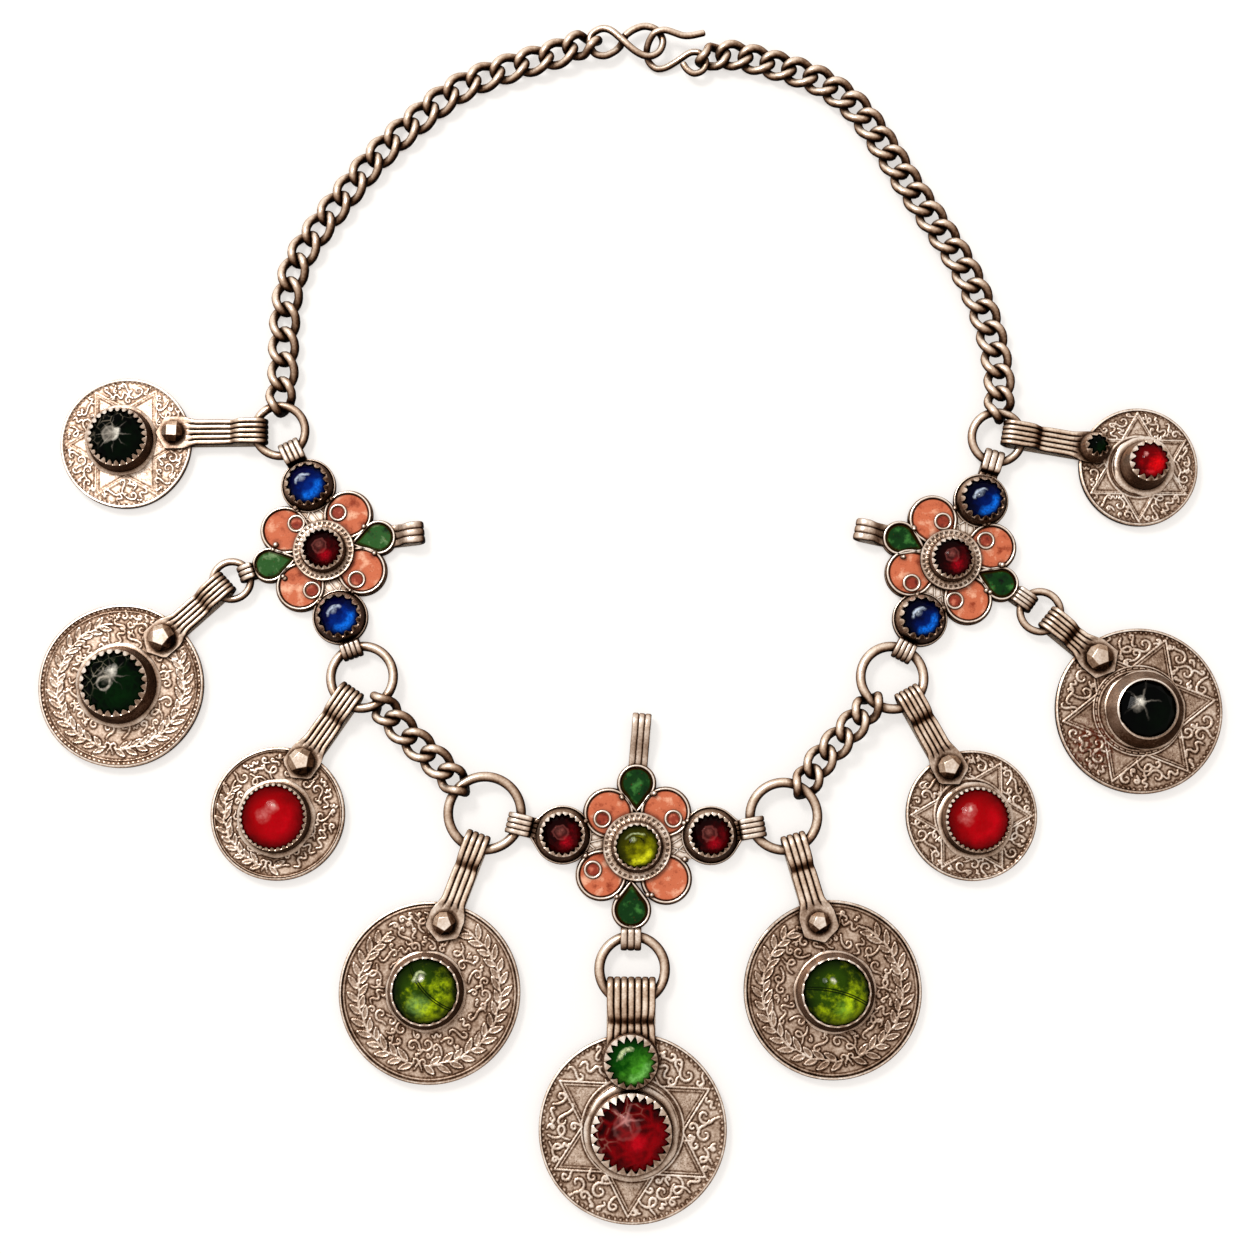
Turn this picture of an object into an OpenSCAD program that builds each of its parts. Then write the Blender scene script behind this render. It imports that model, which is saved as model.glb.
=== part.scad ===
// Coin necklace, lying flat. Millimetres, Z up, the surface at Z = 0.
// X runs to the wearer's left as the necklace lies face up, Y towards the clasp.
// The origin is under the middle of the whole loop.

/* [Chain] */
// Diameter of the chain wire
chain_wire = 1.4; // [1.2:0.02:1.4]
// Half width of a link, measured to the middle of its wire
link_half_width = 2.3; // [2.2:0.05:2.4]
// Twist of a link from its middle to each end, in degrees
link_twist = 48; // [46:1:50]
// Free play between two links
link_play = 0.34; // [0.3:0.02:0.4]

/* [Straps and bails] */
// Thickness of the folded silver strip
strip_t = 0.45; // [0.35:0.05:0.5]
// Inner radius of the loop at a coin strap's end
strap_eye_r = 1.5; // [1.4:0.05:1.6]
// Inner radius of the loop at a flower bail's end
bail_eye_r = 1.3; // [1.2:0.05:1.4]
// Height of the ribs on a strip
rib_h = 0.25; // [0.1:0.05:0.3]

/* [Coins] */
// Height of a coin's back above the surface
coin_z = 0.5; // [0.5:0.05:0.6]
// Thickness of a coin without its relief
coin_t = 1.3; // [1.1:0.05:1.4]
// Height of the cast relief and the rim
relief_h = 0.25; // [0.1:0.05:0.3]
// Width of a coin's raised rim
rim_w = 0.7; // [0.5:0.1:1.0]

/* [Flowers] */
// Height of a flower plate's back above the surface
plate_z = 0.4; // [0.3:0.05:0.45]
// Thickness of a flower plate
plate_t = 0.9; // [0.7:0.1:1.2]
// Height of the cell wires above the plate
cell_h = 1.0; // [0.6:0.1:1.4]
// Width of a cell wire
cell_w = 0.5; // [0.4:0.05:0.6]

/* [Settings] */
// Thickness of a bezel's wall
bezel_t = 0.45; // [0.3:0.05:0.5]
// Gap between a stone and its setting
stone_gap = 0.08; // [0.05:0.01:0.12]

/* [Hidden] */
$fn = 64;
fuse = 0.1;
wire_sides = 6;
link_steps = 16;
strap_end_r = strap_eye_r + strip_t;
bail_end_r = bail_eye_r + strip_t;
coin_top = coin_z + coin_t;
leaf_z = coin_top + relief_h + 0.05;
plate_top = plate_z + plate_t;
silver = [0.72, 0.66, 0.58];
old_silver = [0.62, 0.54, 0.46];

// Ribbed strips: the share of a rib's pitch that stands up, and the step down from the loop to the leaf
rib_share = 0.62;
strap_step = 1.2;
bail_step = 0.6;
// Straps, measured back from the rivet: where the ribs end, and where the plate begins and is full
ribs_end = 3.4;
plate_start = 4.5;
plate_full = 1.5;
// Share of the plate's width that its pointed tip is long
tip_share = 0.28;
// Rivet, the play in its hole, and its head: heights of the belly, the shoulder and the whole head
rivet_r = 0.75;
rivet_play = 0.1;
head_belly_z = 0.6;
head_shoulder_z = 1.1;
head_h = 2.5;
head_foot_share = 0.86;
head_top_share = 0.56;
// Bails: further reach of the back under the plate, ribs past the loop,
// bite into the wall of a drop and into a side setting
bail_back = 3;
bail_ribs = 2.2;
drop_bite = 0.15;
setting_bite = 0.4;
// Settings: how far the lip reaches over the stone, its edge, its slope and the depth of the seat
lip_reach = 0.45;
lip_edge = 0.25;
lip_back = 0.4;
lip_slope = 0.6;
seat_depth = 1.6;
// Stones: lift above the seat, depth of the shoulder below the setting's edge, and inset above it
stone_lift = 0.05;
shoulder_depth = 0.7;
neck_inset = 0.55;
// Cut stones: height and size of the middle row of facets, and size of the table
facet_share = 0.62;
facet_size = 0.8;
table_size = 0.45;
// Coins: line width of the relief, the star's distance from the rim, the foot under a setting
line_w = 0.5;
star_margin = 0.6;
foot_h = 0.5;
// Wreath, as shares of the coin's radius, then in degrees: first leaf, pitch and lean of the leaves
wreath_share = 0.72;
leaf_len_share = 0.27;
leaf_wide_share = 0.095;
first_leaf = 14;
leaf_pitch = 18;
leaf_lean = 32;
leaf_pairs = 9;
// Flowers: plate beyond the collar, wall beyond a drop, plate beyond a side setting, half an arm's width
collar_wall = 1.2;
drop_wall = 0.3;
side_wall = 0.4;
arm_half = 4;
collar_h = 1.7;
// Enamel: lift above the plate and how far it lies below the wires
enamel_lift = 0.03;
petal_sink = 0.25;
dot_sink = 0.3;
drop_sink = 0.15;

// Rings: name, x, y, outer diameter, wire diameter, height, tilt, direction of the high side
rings = [
    ["upper_left", -67.9, 34.4, 11.1, 1.35, 1.95, 4.1, 92],
    ["upper_right", 71.3, 33.1, 11.1, 1.35, 1.95, 4.1, 85],
    ["side_left", -76.7, 5.05, 8.4, 1.1, 1.85, 0, 0],
    ["side_right", 79.0, -1.0, 8.9, 1.15, 1.85, 0, 0],
    ["lower_left", -51.3, -13.7, 13.55, 1.5, 2.2, 5.3, -54],
    ["lower_right", 50.3, -13.8, 13.7, 1.55, 2.2, 5.3, 230],
    ["front_left", -27.6, -39.7, 15.4, 1.55, 2.2, 4.8, 133],
    ["front_right", 29.3, -40.3, 14.35, 1.55, 2.2, 5.1, 57],
    ["center", 0.45, -69.1, 14.0, 1.6, 1.9, 0, 0]
];

// Coins: x, y, diameter, pattern (0 star, 1 wreath), turn of the pattern, inner circle radius,
// then the setting: x and y from the coin's middle, radius at the foot, height, flange radius,
// and radius at the edge
coins = [
    [-97.8, 32.0, 25.6, 0, 0, 0, -1.0, 0.6, 6.25, 4.2, 7.0, 5.8],
    [-97.6, -15.3, 31.7, 1, 10, 0, -0.5, 0.1, 7.35, 5.2, 8.2, 6.5],
    [-67.1, -39.8, 25.6, 1, 40, 0, -0.3, -0.8, 6.6, 4.6, 7.5, 6.45],
    [-37.8, -73.5, 34.3, 1, 80, 0, -0.7, 0.3, 7.1, 3.4, 7.6, 6.5],
    [0.5, -98.75, 35.4, 0, 87, 9.6, -0.2, -0.7, 7.75, 4.6, 8.9, 7.6],
    [38.3, -73.0, 33.8, 1, 100, 0, 0.5, -0.4, 7.3, 3.4, 7.8, 6.6],
    [65.1, -40.1, 25.0, 0, 0, 8.3, 0.7, -1.0, 6.4, 4.6, 7.3, 6.25],
    [97.5, -20.1, 32.0, 0, 7, 8.7, 1.1, 0.1, 7.3, 3.6, 7.7, 5.95],
    [98.6, 27.3, 23.1, 0, 90, 6.0, 1.1, 0.2, 4.7, 6.2, 5.9, 4.0]
];

// Straps: x and y of the loop's end, x and y of the rivet, width, ribs, length of the loop,
// plate's width, plate's reach past the rivet, rivet head's radius (0 where a stone sits there)
straps = [
    [-70.4, 34.2, -88.5, 34.0, 5.0, 5, 3.2, 6.2, 3.4, 2.2],
    [-77.4, 5.0, -89.7, -6.2, 4.7, 5, 3.0, 6.6, 3.9, 2.65],
    [-52.9, -15.9, -62.5, -29.9, 4.9, 5, 3.4, 6.4, 3.6, 2.6],
    [-28.6, -43.6, -35.0, -60.5, 4.7, 4, 3.2, 6.6, 3.6, 2.25],
    [0.3, -70.7, 0.2, -86.2, 9.2, 7, 4.8, 9.2, 3.4, 0],
    [30.9, -43.8, 35.8, -60.4, 4.8, 4, 3.2, 6.8, 3.8, 2.1],
    [52.8, -16.1, 61.0, -31.0, 4.9, 5, 3.2, 6.4, 3.6, 2.4],
    [80.1, -1.8, 89.9, -10.0, 4.8, 5, 2.8, 6.8, 3.9, 2.65],
    [72.5, 34.1, 90.1, 31.0, 4.9, 5, 3.6, 6.0, 3.0, 0]
];
// Settings that stand on a strap's end: strap number, radius at the foot, height, radius at the edge
strap_settings = [[5, 5.2, 3.8, 5.1], [9, 2.85, 3.6, 2.4]];

// Stones on the coins: 0 cut, 1 domed; height above the setting; colour
coin_gems = [
    [0, 1.0, [0.02, 0.08, 0.04]], [0, 1.4, [0.02, 0.12, 0.04]], [1, 1.6, [0.7, 0.02, 0.04]],
    [1, 2.0, [0.25, 0.42, 0.05]], [0, 1.6, [0.45, 0.01, 0.03]], [1, 2.0, [0.25, 0.42, 0.05]],
    [1, 1.6, [0.7, 0.02, 0.04]], [0, 1.2, [0.02, 0.06, 0.03]], [1, 1.2, [0.6, 0.02, 0.05]]
];

// Flowers: x, y, turn
flowers = [[-59.0, 10.8, 14.3], [61.9, 9.0, -25.7], [1.4, -46.1, 0]];
// Petals, drops and round settings in a flower's own frame.
// Petal: x, y, radius, x and y of the ring in it (none in the front flower's last petal)
petals = [
    [[6.1, 5.8, 4.6, 4.4, 6.6], [-6.4, 5.8, 4.6, -3.9, 6.5], [-6.0, -5.6, 4.6, -4.0, -6.9],
     [6.2, -5.5, 4.6, 4.8, -7.0]],
    [[6.1, 5.8, 4.6, 4.5, 6.4], [-6.4, 5.8, 4.6, -4.5, 6.2], [-6.0, -5.6, 4.6, -4.9, -7.3],
     [6.2, -5.5, 4.6, 4.0, -6.8]],
    [[5.4, 6.6, 4.7, 6.9, 5.3], [-5.4, 6.4, 4.7, -6.6, 5.3], [-6.8, -5.3, 4.7, -8.4, -4.3],
     [5.5, -6.0, 4.7]]
];
// Drop: x, y, radius, length of its point, direction of its point
drops = [
    [[-10.8, 0, 3.0, 5.2, 0], [10.8, 0, 3.0, 5.2, 180]],
    [[-10.6, -0.3, 3.0, 5.2, 0], [10.7, 0.15, 3.0, 5.2, 180]],
    [[-0.1, 12.1, 3.3, 5.4, 270], [-1.1, -11.9, 3.3, 5.4, 90]]
];
// Round setting: x, y, radius at the foot, height, stone (0 cut, 1 domed), height of the stone, colour,
// radius at the edge
settings = [
    [[0, 0, 4.5, 4.6, 0, 0.9, [0.25, 0.02, 0.03], 4.15],
     [0, 13.2, 4.9, 3.6, 1, 1.6, [0.02, 0.08, 0.5], 4.3],
     [0, -13.2, 4.95, 3.6, 1, 1.6, [0.02, 0.08, 0.5], 4.35]],
    [[0, 0, 4.5, 4.6, 1, 1.2, [0.3, 0.02, 0.04], 4.15],
     [0.45, 13.15, 4.9, 3.6, 1, 1.6, [0.02, 0.08, 0.5], 4.3],
     [-0.5, -12.9, 4.9, 3.6, 1, 1.6, [0.02, 0.08, 0.5], 4.3]],
    [[0, 0, 5.2, 4.4, 1, 1.2, [0.5, 0.5, 0.03], 4.5],
     [-14.2, 2.3, 5.2, 3.4, 0, 0.8, [0.3, 0.02, 0.04], 4.35],
     [14.0, 2.2, 5.2, 3.4, 0, 0.8, [0.3, 0.02, 0.04], 4.35]]
];
setting_names = [["center", "top", "bottom"], ["center", "top", "bottom"], ["center", "left", "right"]];
flower_names = ["left", "right", "front"];
collar_r = [5.9, 5.9, 6.5];
// Bails: x and y of the loop's end, what it grows from (0 and 1 a drop, 2 and 3 a side setting),
// width, ribs, length of the loop, closed (1 where nothing hangs in it and the loop is a full round)
bails = [
    [[-66.5, 32.2, 2, 4.1, 4, 2.4, 0], [-52.9, -9.95, 3, 3.9, 4, 1.0, 0],
     [-75.3, 6.0, 0, 3.1, 3, 0.95, 0], [-39.8, 14.5, 1, 4.2, 3, 0.6, 1]],
    [[71.0, 30.5, 2, 3.8, 3, 2.4, 0], [51.8, -10.3, 3, 3.8, 4, 1.7, 0],
     [77.7, 0.1, 1, 3.4, 4, 2.1, 0], [43.6, 15.2, 0, 4.1, 3, 0.6, 1]],
    [[-23.3, -41.3, 2, 4.0, 4, 2.6, 0], [25.7, -42.1, 3, 4.0, 4, 2.6, 0],
     [0.2, -65.5, 1, 3.9, 3, 1.9, 0], [2.4, -20.7, 0, 3.6, 3, 0.6, 1]]
];
petal_ring_r = 1.8;
enamel_gap = 0.06;
// How far the plate draws out to a point beyond each flower's side settings
wing = [0.5, 0.5, 2.0];

// Chain routes: x, y, z. Each runs down from the clasp towards the front,
// from the middle of the wire it hangs on at one end to the same at the other end.
route_left = [
    [-7.9, 112.4, 2.5], [-11.0, 111.7, 2.55], [-14.6, 110.2, 2.35], [-25.0, 107.1, 1.8],
    [-33.8, 103.3, 1.7],
    [-41.6, 97.2, 1.7], [-48.9, 90.4, 1.7], [-54.9, 83.1, 1.7], [-60.8, 75.2, 1.7], [-65.0, 68.4, 1.7],
    [-66.9, 61.4, 1.7], [-67.5, 54.0, 1.7], [-67.5, 46.2, 2.05], [-67.8, 42.2, 2.25], [-67.9, 39.3, 2.3]
];
route_right = [
    [15.1, 108.9, 2.55], [17.6, 110.2, 1.8], [22.0, 109.9, 1.8], [30.5, 107.6, 1.7], [37.9, 104.7, 1.7],
    [44.7, 99.4, 1.7], [49.9, 92.1, 1.7], [54.9, 83.8, 1.7], [60.1, 75.8, 1.7], [64.7, 68.4, 1.7],
    [68.3, 60.6, 1.7], [70.8, 52.4, 1.75], [71.8, 45.0, 2.35], [71.8, 41.0, 2.6], [71.7, 38.0, 2.35]
];
route_lower_left = [
    [-47.75, -18.6, 2.73], [-46.7, -20.1, 3.01], [-43.5, -23.7, 2.99], [-40.1, -27.0, 2.79],
    [-36.6, -30.2, 2.83],
    [-33.4, -33.6, 2.84], [-32.3, -34.65, 2.74]
];
route_lower_right = [
    [46.4, -18.45, 2.65], [45.4, -19.7, 2.95], [42.3, -23.3, 3.13], [39.2, -26.7, 2.89],
    [36.1, -30.1, 2.68],
    [33.7, -33.7, 2.66], [32.8, -34.95, 2.81]
];
// Chains: name, route, number of links, then how the first and the last link are held:
// wire diameter of the holder, further twist of the link's end, its half width, slack
chains = [
    ["left", route_left, 21, [1.25, 38, 2.4, 0.57], [1.35, 28, 2.43, 0.26]],
    ["right", route_right, 23, [1.15, 45, 2.04, 0.18], [1.35, 31, 2.49, 0.27]],
    ["lower_left", route_lower_left, 5, [1.55, 46.5, 2.66, 0.24], [1.65, 38.6, 2.76, 0.12]],
    ["lower_right", route_lower_right, 5, [1.55, 39.3, 2.75, 0.14], [1.6, 32.7, 2.85, 0.13]]
];
// How far out from a link's middle its held end is fully twisted, as a share of half its length
end_reach = 0.35;

// Clasp: the figure-of-eight eye and the hook, each a wire along a hand-set route
eye_wire = 1.25;
eye_route = [
    [-1.0, 113.9, 2.3], [0.7, 115.2, 2.3], [3.0, 115.95, 2.3], [5.3, 115.2, 2.3],
    [6.6, 113.0, 2.3], [5.8, 110.6, 2.45],
    [3.6, 109.6, 2.7], [1.1, 110.6, 3.0], [-1.5, 112.9, 3.1], [-3.7, 114.9, 2.8],
    [-5.6, 115.4, 2.4], [-7.5, 114.3, 2.3],
    [-7.9, 112.4, 2.3], [-7.0, 110.4, 2.3], [-5.0, 109.9, 2.15], [-3.2, 110.8, 1.8], [-2.2, 111.7, 1.5]
];
hook_wire = 1.15;
hook_route = [
    [14.8, 114.2, 3.4], [12.4, 113.6, 3.5], [10.6, 113.5, 3.6], [8.7, 114.1, 3.75],
    [6.9, 114.6, 3.8], [5.0, 114.1, 3.6],
    [3.9, 112.8, 2.7], [3.4, 111.3, 1.7], [3.6, 109.6, 0.95], [4.4, 108.4, 0.8], [5.6, 107.7, 0.8],
    [7.5, 108.1, 0.9],
    [9.9, 109.5, 1.2], [12.0, 110.7, 1.8], [13.8, 110.5, 2.2], [15.1, 108.9, 2.3], [14.6, 107.0, 2.3],
    [12.8, 106.2, 2.3], [11.3, 107.1, 2.3], [10.5, 108.4, 2.3]
];

// Vectors and routes

function unit(v) = v / norm(v);
function steps(route) = [for (i = [1:len(route) - 1]) norm(route[i] - route[i - 1])];
function sums(v, i = 0, total = 0) = i >= len(v) ? [total] : concat([total], sums(v, i + 1, total + v[i]));
function table(route, axis) =
    let (s = sums(steps(route)))
    [for (i = [0:len(route) - 1]) [s[i], route[i][axis]]];
function route_length(route) = let (s = sums(steps(route))) s[len(s) - 1];
function place_on(tables, s) = [for (axis = [0:2]) lookup(s, tables[axis])];

// A smooth line through every point of a route, with a number of steps between two points
function smooth_part(p0, p1, p2, p3, t) =
    0.5 * (2 * p1 + (p2 - p0) * t + (2 * p0 - 5 * p1 + 4 * p2 - p3) * t * t
    + (3 * p1 - p0 - 3 * p2 + p3) * t * t * t);
function smooth(route, n) =
    let (last = len(route) - 1)
    concat([for (i = [0:last - 1]) for (k = [0:n - 1])
        smooth_part(route[max(i - 1, 0)], route[i], route[i + 1], route[min(i + 2, last)], k / n)],
        [route[last]]);

// Faces of a mesh that is a row of rings, either closed on itself or with flat ends
function side_faces(rings_n, sides, closed) =
    [for (i = [0:rings_n - (closed ? 1 : 2)]) for (k = [0:sides - 1]) for (half = [0, 1])
        let (a = i * sides, b = ((i + 1) % rings_n) * sides, k2 = (k + 1) % sides)
        half == 0 ? [a + k, b + k, b + k2] : [a + k, b + k2, a + k2]];
function end_faces(rings_n, sides) =
    [[for (k = [0:sides - 1]) k], [for (k = [sides - 1:-1:0]) (rings_n - 1) * sides + k]];

// The circle of points round one place of a wire that runs along a direction
function wire_ring(at, along, r, sides) =
    let (flat = abs(along[2]) > 0.9 ? [1, 0, 0] : [0, 0, 1],
        side = unit(cross(flat, along)),
        up = cross(along, side))
    [for (k = [0:sides - 1]) at + r * (cos(360 * k / sides) * side + sin(360 * k / sides) * up)];

// Chain links

// How far a place on a link counts as its end: 0 at the middle, 1 from end_reach outwards
function end_share(u) = u <= 0 ? 0 : u >= end_reach ? 1 : pow(sin(90 * u / end_reach), 2);
// The middle line of a link. Each end is [further twist, half width].
function link_point(a, end_0, end_1, t) =
    let (x = a * cos(t),
        share_0 = end_share(-x / a),
        share_1 = end_share(x / a),
        half = link_half_width + share_0 * (end_0[1] - link_half_width)
            + share_1 * (end_1[1] - link_half_width),
        turn = -link_twist * x / a + share_0 * end_0[0] - share_1 * end_1[0],
        y = half * sin(t))
    [x, y * cos(turn), y * sin(turn)];
function link_rings(a, end_0, end_1) =
    [for (i = [0:link_steps - 1])
        let (t = 360 * i / link_steps,
            at = link_point(a, end_0, end_1, t),
            along = unit(link_point(a, end_0, end_1, t + 2) - link_point(a, end_0, end_1, t - 2)),
            out = unit([at[0] * 0.6, at[1], at[2]]),
            side = unit(cross(along, out)),
            up = cross(side, along))
        for (k = [0:wire_sides - 1])
            at + chain_wire / 2 * (cos(360 * k / wire_sides) * up + sin(360 * k / wire_sides) * side)];

module chain_link(a, end_0, end_1, at, along) {
    side = unit(cross([0, 0, 1], along));
    up = cross(along, side);
    points = [for (p = link_rings(a, end_0, end_1)) at + p[0] * along + p[1] * side + p[2] * up];
    polyhedron(points, side_faces(link_steps, wire_sides, true), convexity = 6);
}

module chain(c) {
    route = smooth(c[1], 4);
    links = c[2];
    first = c[3];
    final = c[4];
    free_end = [0, link_half_width];
    tables = [for (axis = [0:2]) table(route, axis)];
    length = route_length(route);
    pitch = (length - link_play + (first[0] + final[0]) / 2 + first[3] + final[3]) / links;
    a = (pitch + chain_wire + link_play) / 2;
    lead = (pitch + link_play - first[0]) / 2 - first[3];
    color(old_silver)
    for (i = [0:links - 1]) {
        s = lead + i * pitch;
        at = place_on(tables, s);
        ahead = place_on(tables, min(s + pitch / 2, length));
        behind = place_on(tables, max(s - pitch / 2, 0));
        along = unit(ahead - behind);
        end_0 = i == 0 ? [first[1], first[2]] : free_end;
        end_1 = i == links - 1 ? [final[1], final[2]] : free_end;
        chain_link(a, end_0, end_1, at, along);
    }
}

// Clasp

module wire(route, d, between, sides) {
    line = smooth(route, between);
    last = len(line) - 1;
    points = [for (i = [0:last])
        each wire_ring(line[i], unit(line[min(i + 1, last)] - line[max(i - 1, 0)]), d / 2, sides)];
    faces = concat(side_faces(last + 1, sides, false), end_faces(last + 1, sides));
    color(silver) polyhedron(points, faces, convexity = 8);
}

module ring(r) {
    middle_r = (r[3] - r[4]) / 2;
    color(silver)
    translate([r[1], r[2], r[5]])
    rotate([0, 0, r[7]])
    rotate([0, -r[6], 0])
    rotate_extrude($fn = 64)
    translate([middle_r, 0])
    circle(d = r[4], $fn = 24);
}

// Folded strips with a loop at one end

// Side view of the strip: x along it from the middle of the loop's round end, y up.
// loop is [inner radius, straight length, length of the step down to the leaf, the back's further reach].
// grow adds height on the outside only, for the ribs.
module strip_side(loop, reach, leaf, grow) {
    eye_r = loop[0];
    loop_len = loop[1];
    end_r = eye_r + strip_t;
    top = eye_r + end_r;
    step_end = loop_len + loop[2];
    intersection() {
        union() {
            difference() {
                translate([0, end_r]) circle(end_r + grow);
                translate([0, end_r]) circle(eye_r);
                translate([0, -end_r]) square([3 * end_r, 5 * end_r]);
            }
            polygon([
                [0, top], [loop_len, top], [step_end, leaf], [reach, leaf], [reach, leaf + strip_t + grow],
                [step_end, leaf + strip_t + grow], [loop_len, top + strip_t + grow],
                [0, top + strip_t + grow]
            ]);
            square([reach + loop[3], strip_t]);
        }
        translate([-2 * end_r, 0]) square([reach + loop[3] + 3 * end_r, 4 * end_r]);
    }
}

module strip_solid(loop, reach, leaf, grow, width) {
    rotate([90, 0, 0])
    translate([0, 0, -width / 2])
    linear_extrude(width)
    strip_side(loop, reach, leaf, grow);
}

module strip_ribs(loop, reach, leaf, width, ribs) {
    pitch = width / ribs;
    for (i = [0:ribs - 1])
        translate([0, (i + 0.5) * pitch - width / 2, 0])
        strip_solid(loop, reach, leaf, rib_h, rib_share * pitch);
}

// Settings

// A wall that narrows from its foot to its edge
module setting(foot_r, edge_r, h) {
    inner_r = edge_r - bezel_t;
    lip_r = inner_r - stone_gap - lip_reach;
    rotate_extrude()
    polygon([
        [0, -fuse], [foot_r, -fuse], [edge_r, h - lip_slope], [edge_r - lip_back, h], [lip_r, h],
        [lip_r, h - lip_edge], [inner_r, h - lip_slope], [inner_r, h - seat_depth], [0, h - seat_depth]
    ]);
}

// A domed stone: a straight girdle under the lip, then a low dome
module domed_stone(edge_r, h, rise) {
    girdle_r = edge_r - bezel_t - stone_gap;
    neck_r = girdle_r - neck_inset;
    foot = h - seat_depth + stone_lift;
    shoulder = h - shoulder_depth;
    dome_h = h + rise - shoulder;
    dome_r = (neck_r * neck_r + dome_h * dome_h) / (2 * dome_h);
    translate([0, 0, foot]) cylinder(h = shoulder - foot, r = girdle_r);
    translate([0, 0, shoulder - fuse])
    intersection() {
        cylinder(h = dome_h + fuse, r = neck_r);
        translate([0, 0, dome_h + fuse - dome_r]) sphere(dome_r);
    }
}

// A cut stone: a girdle of flats, two rows of facets and a table
module cut_stone(edge_r, h, rise, flats) {
    girdle_r = edge_r - bezel_t - stone_gap;
    neck_r = girdle_r - neck_inset;
    foot = h - seat_depth + stone_lift;
    shoulder = h - shoulder_depth;
    mid = shoulder + facet_share * (h + rise - shoulder);
    translate([0, 0, foot]) cylinder(h = shoulder - foot, r = girdle_r, $fn = flats);
    hull() {
        translate([0, 0, shoulder - fuse]) cylinder(h = 0.05, r = neck_r, $fn = flats);
        translate([0, 0, mid])
        rotate([0, 0, 180 / flats])
        cylinder(h = 0.02, r = neck_r * facet_size, $fn = flats);
        translate([0, 0, h + rise - 0.02]) cylinder(h = 0.02, r = neck_r * table_size, $fn = 8);
    }
}

module stone(kind, edge_r, h, rise) {
    if (kind == 0) cut_stone(edge_r, h, rise, 12);
    if (kind == 1) domed_stone(edge_r, h, rise);
}

// Coins

module star_lines(r, turn, inner_r) {
    for (half = [0, 60])
        rotate(turn + half)
        difference() {
            circle(r, $fn = 3);
            circle(r - 2 * line_w, $fn = 3);
        }
    if (inner_r > 0)
        difference() {
            circle(inner_r);
            circle(inner_r - line_w);
        }
}

module leaf(length, width) {
    bow_r = (length * length / 4 + width * width / 4) / width;
    intersection() {
        translate([length / 2, bow_r - width / 2]) circle(bow_r);
        translate([length / 2, width / 2 - bow_r]) circle(bow_r);
    }
}

module wreath_lines(r, turn) {
    difference() {
        circle(r + 0.4 * line_w);
        circle(r - 0.4 * line_w);
    }
    for (side = [-1, 1])
        for (i = [0:leaf_pairs - 1])
            rotate(turn + 180 + side * (first_leaf + leaf_pitch * i))
            for (out = [-1, 1])
                translate([r, 0])
                rotate(side * 90 - side * out * leaf_lean)
                leaf(leaf_len_share * r, leaf_wide_share * r);
}

module rivet_hole(i) {
    translate([straps[i][2], straps[i][3], 0]) cylinder(h = 3 * coin_top, r = rivet_r + rivet_play);
}

module coin(i) {
    c = coins[i];
    r = c[2] / 2;
    color(silver)
    difference() {
        translate([c[0], c[1], 0])
        union() {
            translate([0, 0, coin_z]) cylinder(h = coin_t, r = r, $fn = 96);
            translate([0, 0, coin_top - fuse]) linear_extrude(relief_h + fuse) difference() {
                circle(r, $fn = 96);
                circle(r - rim_w, $fn = 96);
            }
            translate([0, 0, coin_top - fuse]) linear_extrude(relief_h + fuse)
                if (c[3] == 0) star_lines(r - rim_w - star_margin, c[4], c[5]);
                else wreath_lines(r * wreath_share, c[4]);
            translate([c[6], c[7], coin_top]) setting(c[8], c[11], c[9]);
            translate([c[6], c[7], coin_top - fuse]) cylinder(h = foot_h + fuse, r = c[10]);
        }
        rivet_hole(i);
    }
}

module coin_stone(i) {
    c = coins[i];
    g = coin_gems[i];
    color(g[2]) translate([c[0] + c[6], c[1] + c[7], coin_top]) stone(g[0], c[11], c[9], g[1]);
}

// Coin straps

module rivet_head(r) {
    hull() {
        cylinder(h = head_belly_z, r = head_foot_share * r, $fn = 8);
        translate([0, 0, head_shoulder_z]) rotate([0, 0, 22.5]) cylinder(h = 0.3, r = r, $fn = 8);
        translate([0, 0, head_h - 0.2]) cylinder(h = 0.2, r = head_top_share * r, $fn = 5);
    }
}

module strap_plan(width, plate_w, rivet_x, reach) {
    polygon([
        [-2 * strap_end_r, -width / 2], [rivet_x - plate_start, -width / 2],
        [rivet_x - plate_full, -plate_w / 2],
        [reach - tip_share * plate_w, -plate_w / 2], [reach, 0],
        [reach - tip_share * plate_w, plate_w / 2],
        [rivet_x - plate_full, plate_w / 2], [rivet_x - plate_start, width / 2],
        [-2 * strap_end_r, width / 2]
    ]);
}

module strap(i) {
    s = straps[i];
    run = [s[2] - s[0], s[3] - s[1]];
    direction = atan2(run[1], run[0]);
    rivet_x = norm(run) - strap_end_r;
    reach = rivet_x + s[8];
    leaf_top = leaf_z + strip_t;
    tall = 4 * strap_end_r;
    loop = [strap_eye_r, s[6], strap_step, 0];
    color(silver)
    translate([s[0], s[1], 0])
    rotate([0, 0, direction])
    translate([strap_end_r, 0, 0])
    union() {
        intersection() {
            strip_solid(loop, reach, leaf_z, 0, 2 * s[7]);
            linear_extrude(tall) strap_plan(s[4], s[7], rivet_x, reach);
        }
        strip_ribs(loop, rivet_x - ribs_end, leaf_z, s[4], s[5]);
        translate([rivet_x, 0, 0]) cylinder(h = leaf_top, r = rivet_r);
        if (s[9] > 0) translate([rivet_x, 0, leaf_top - 0.05]) rivet_head(s[9]);
        for (e = strap_settings)
            if (e[0] == i + 1) translate([rivet_x, 0, leaf_top]) setting(e[1], e[3], e[2]);
    }
}

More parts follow.
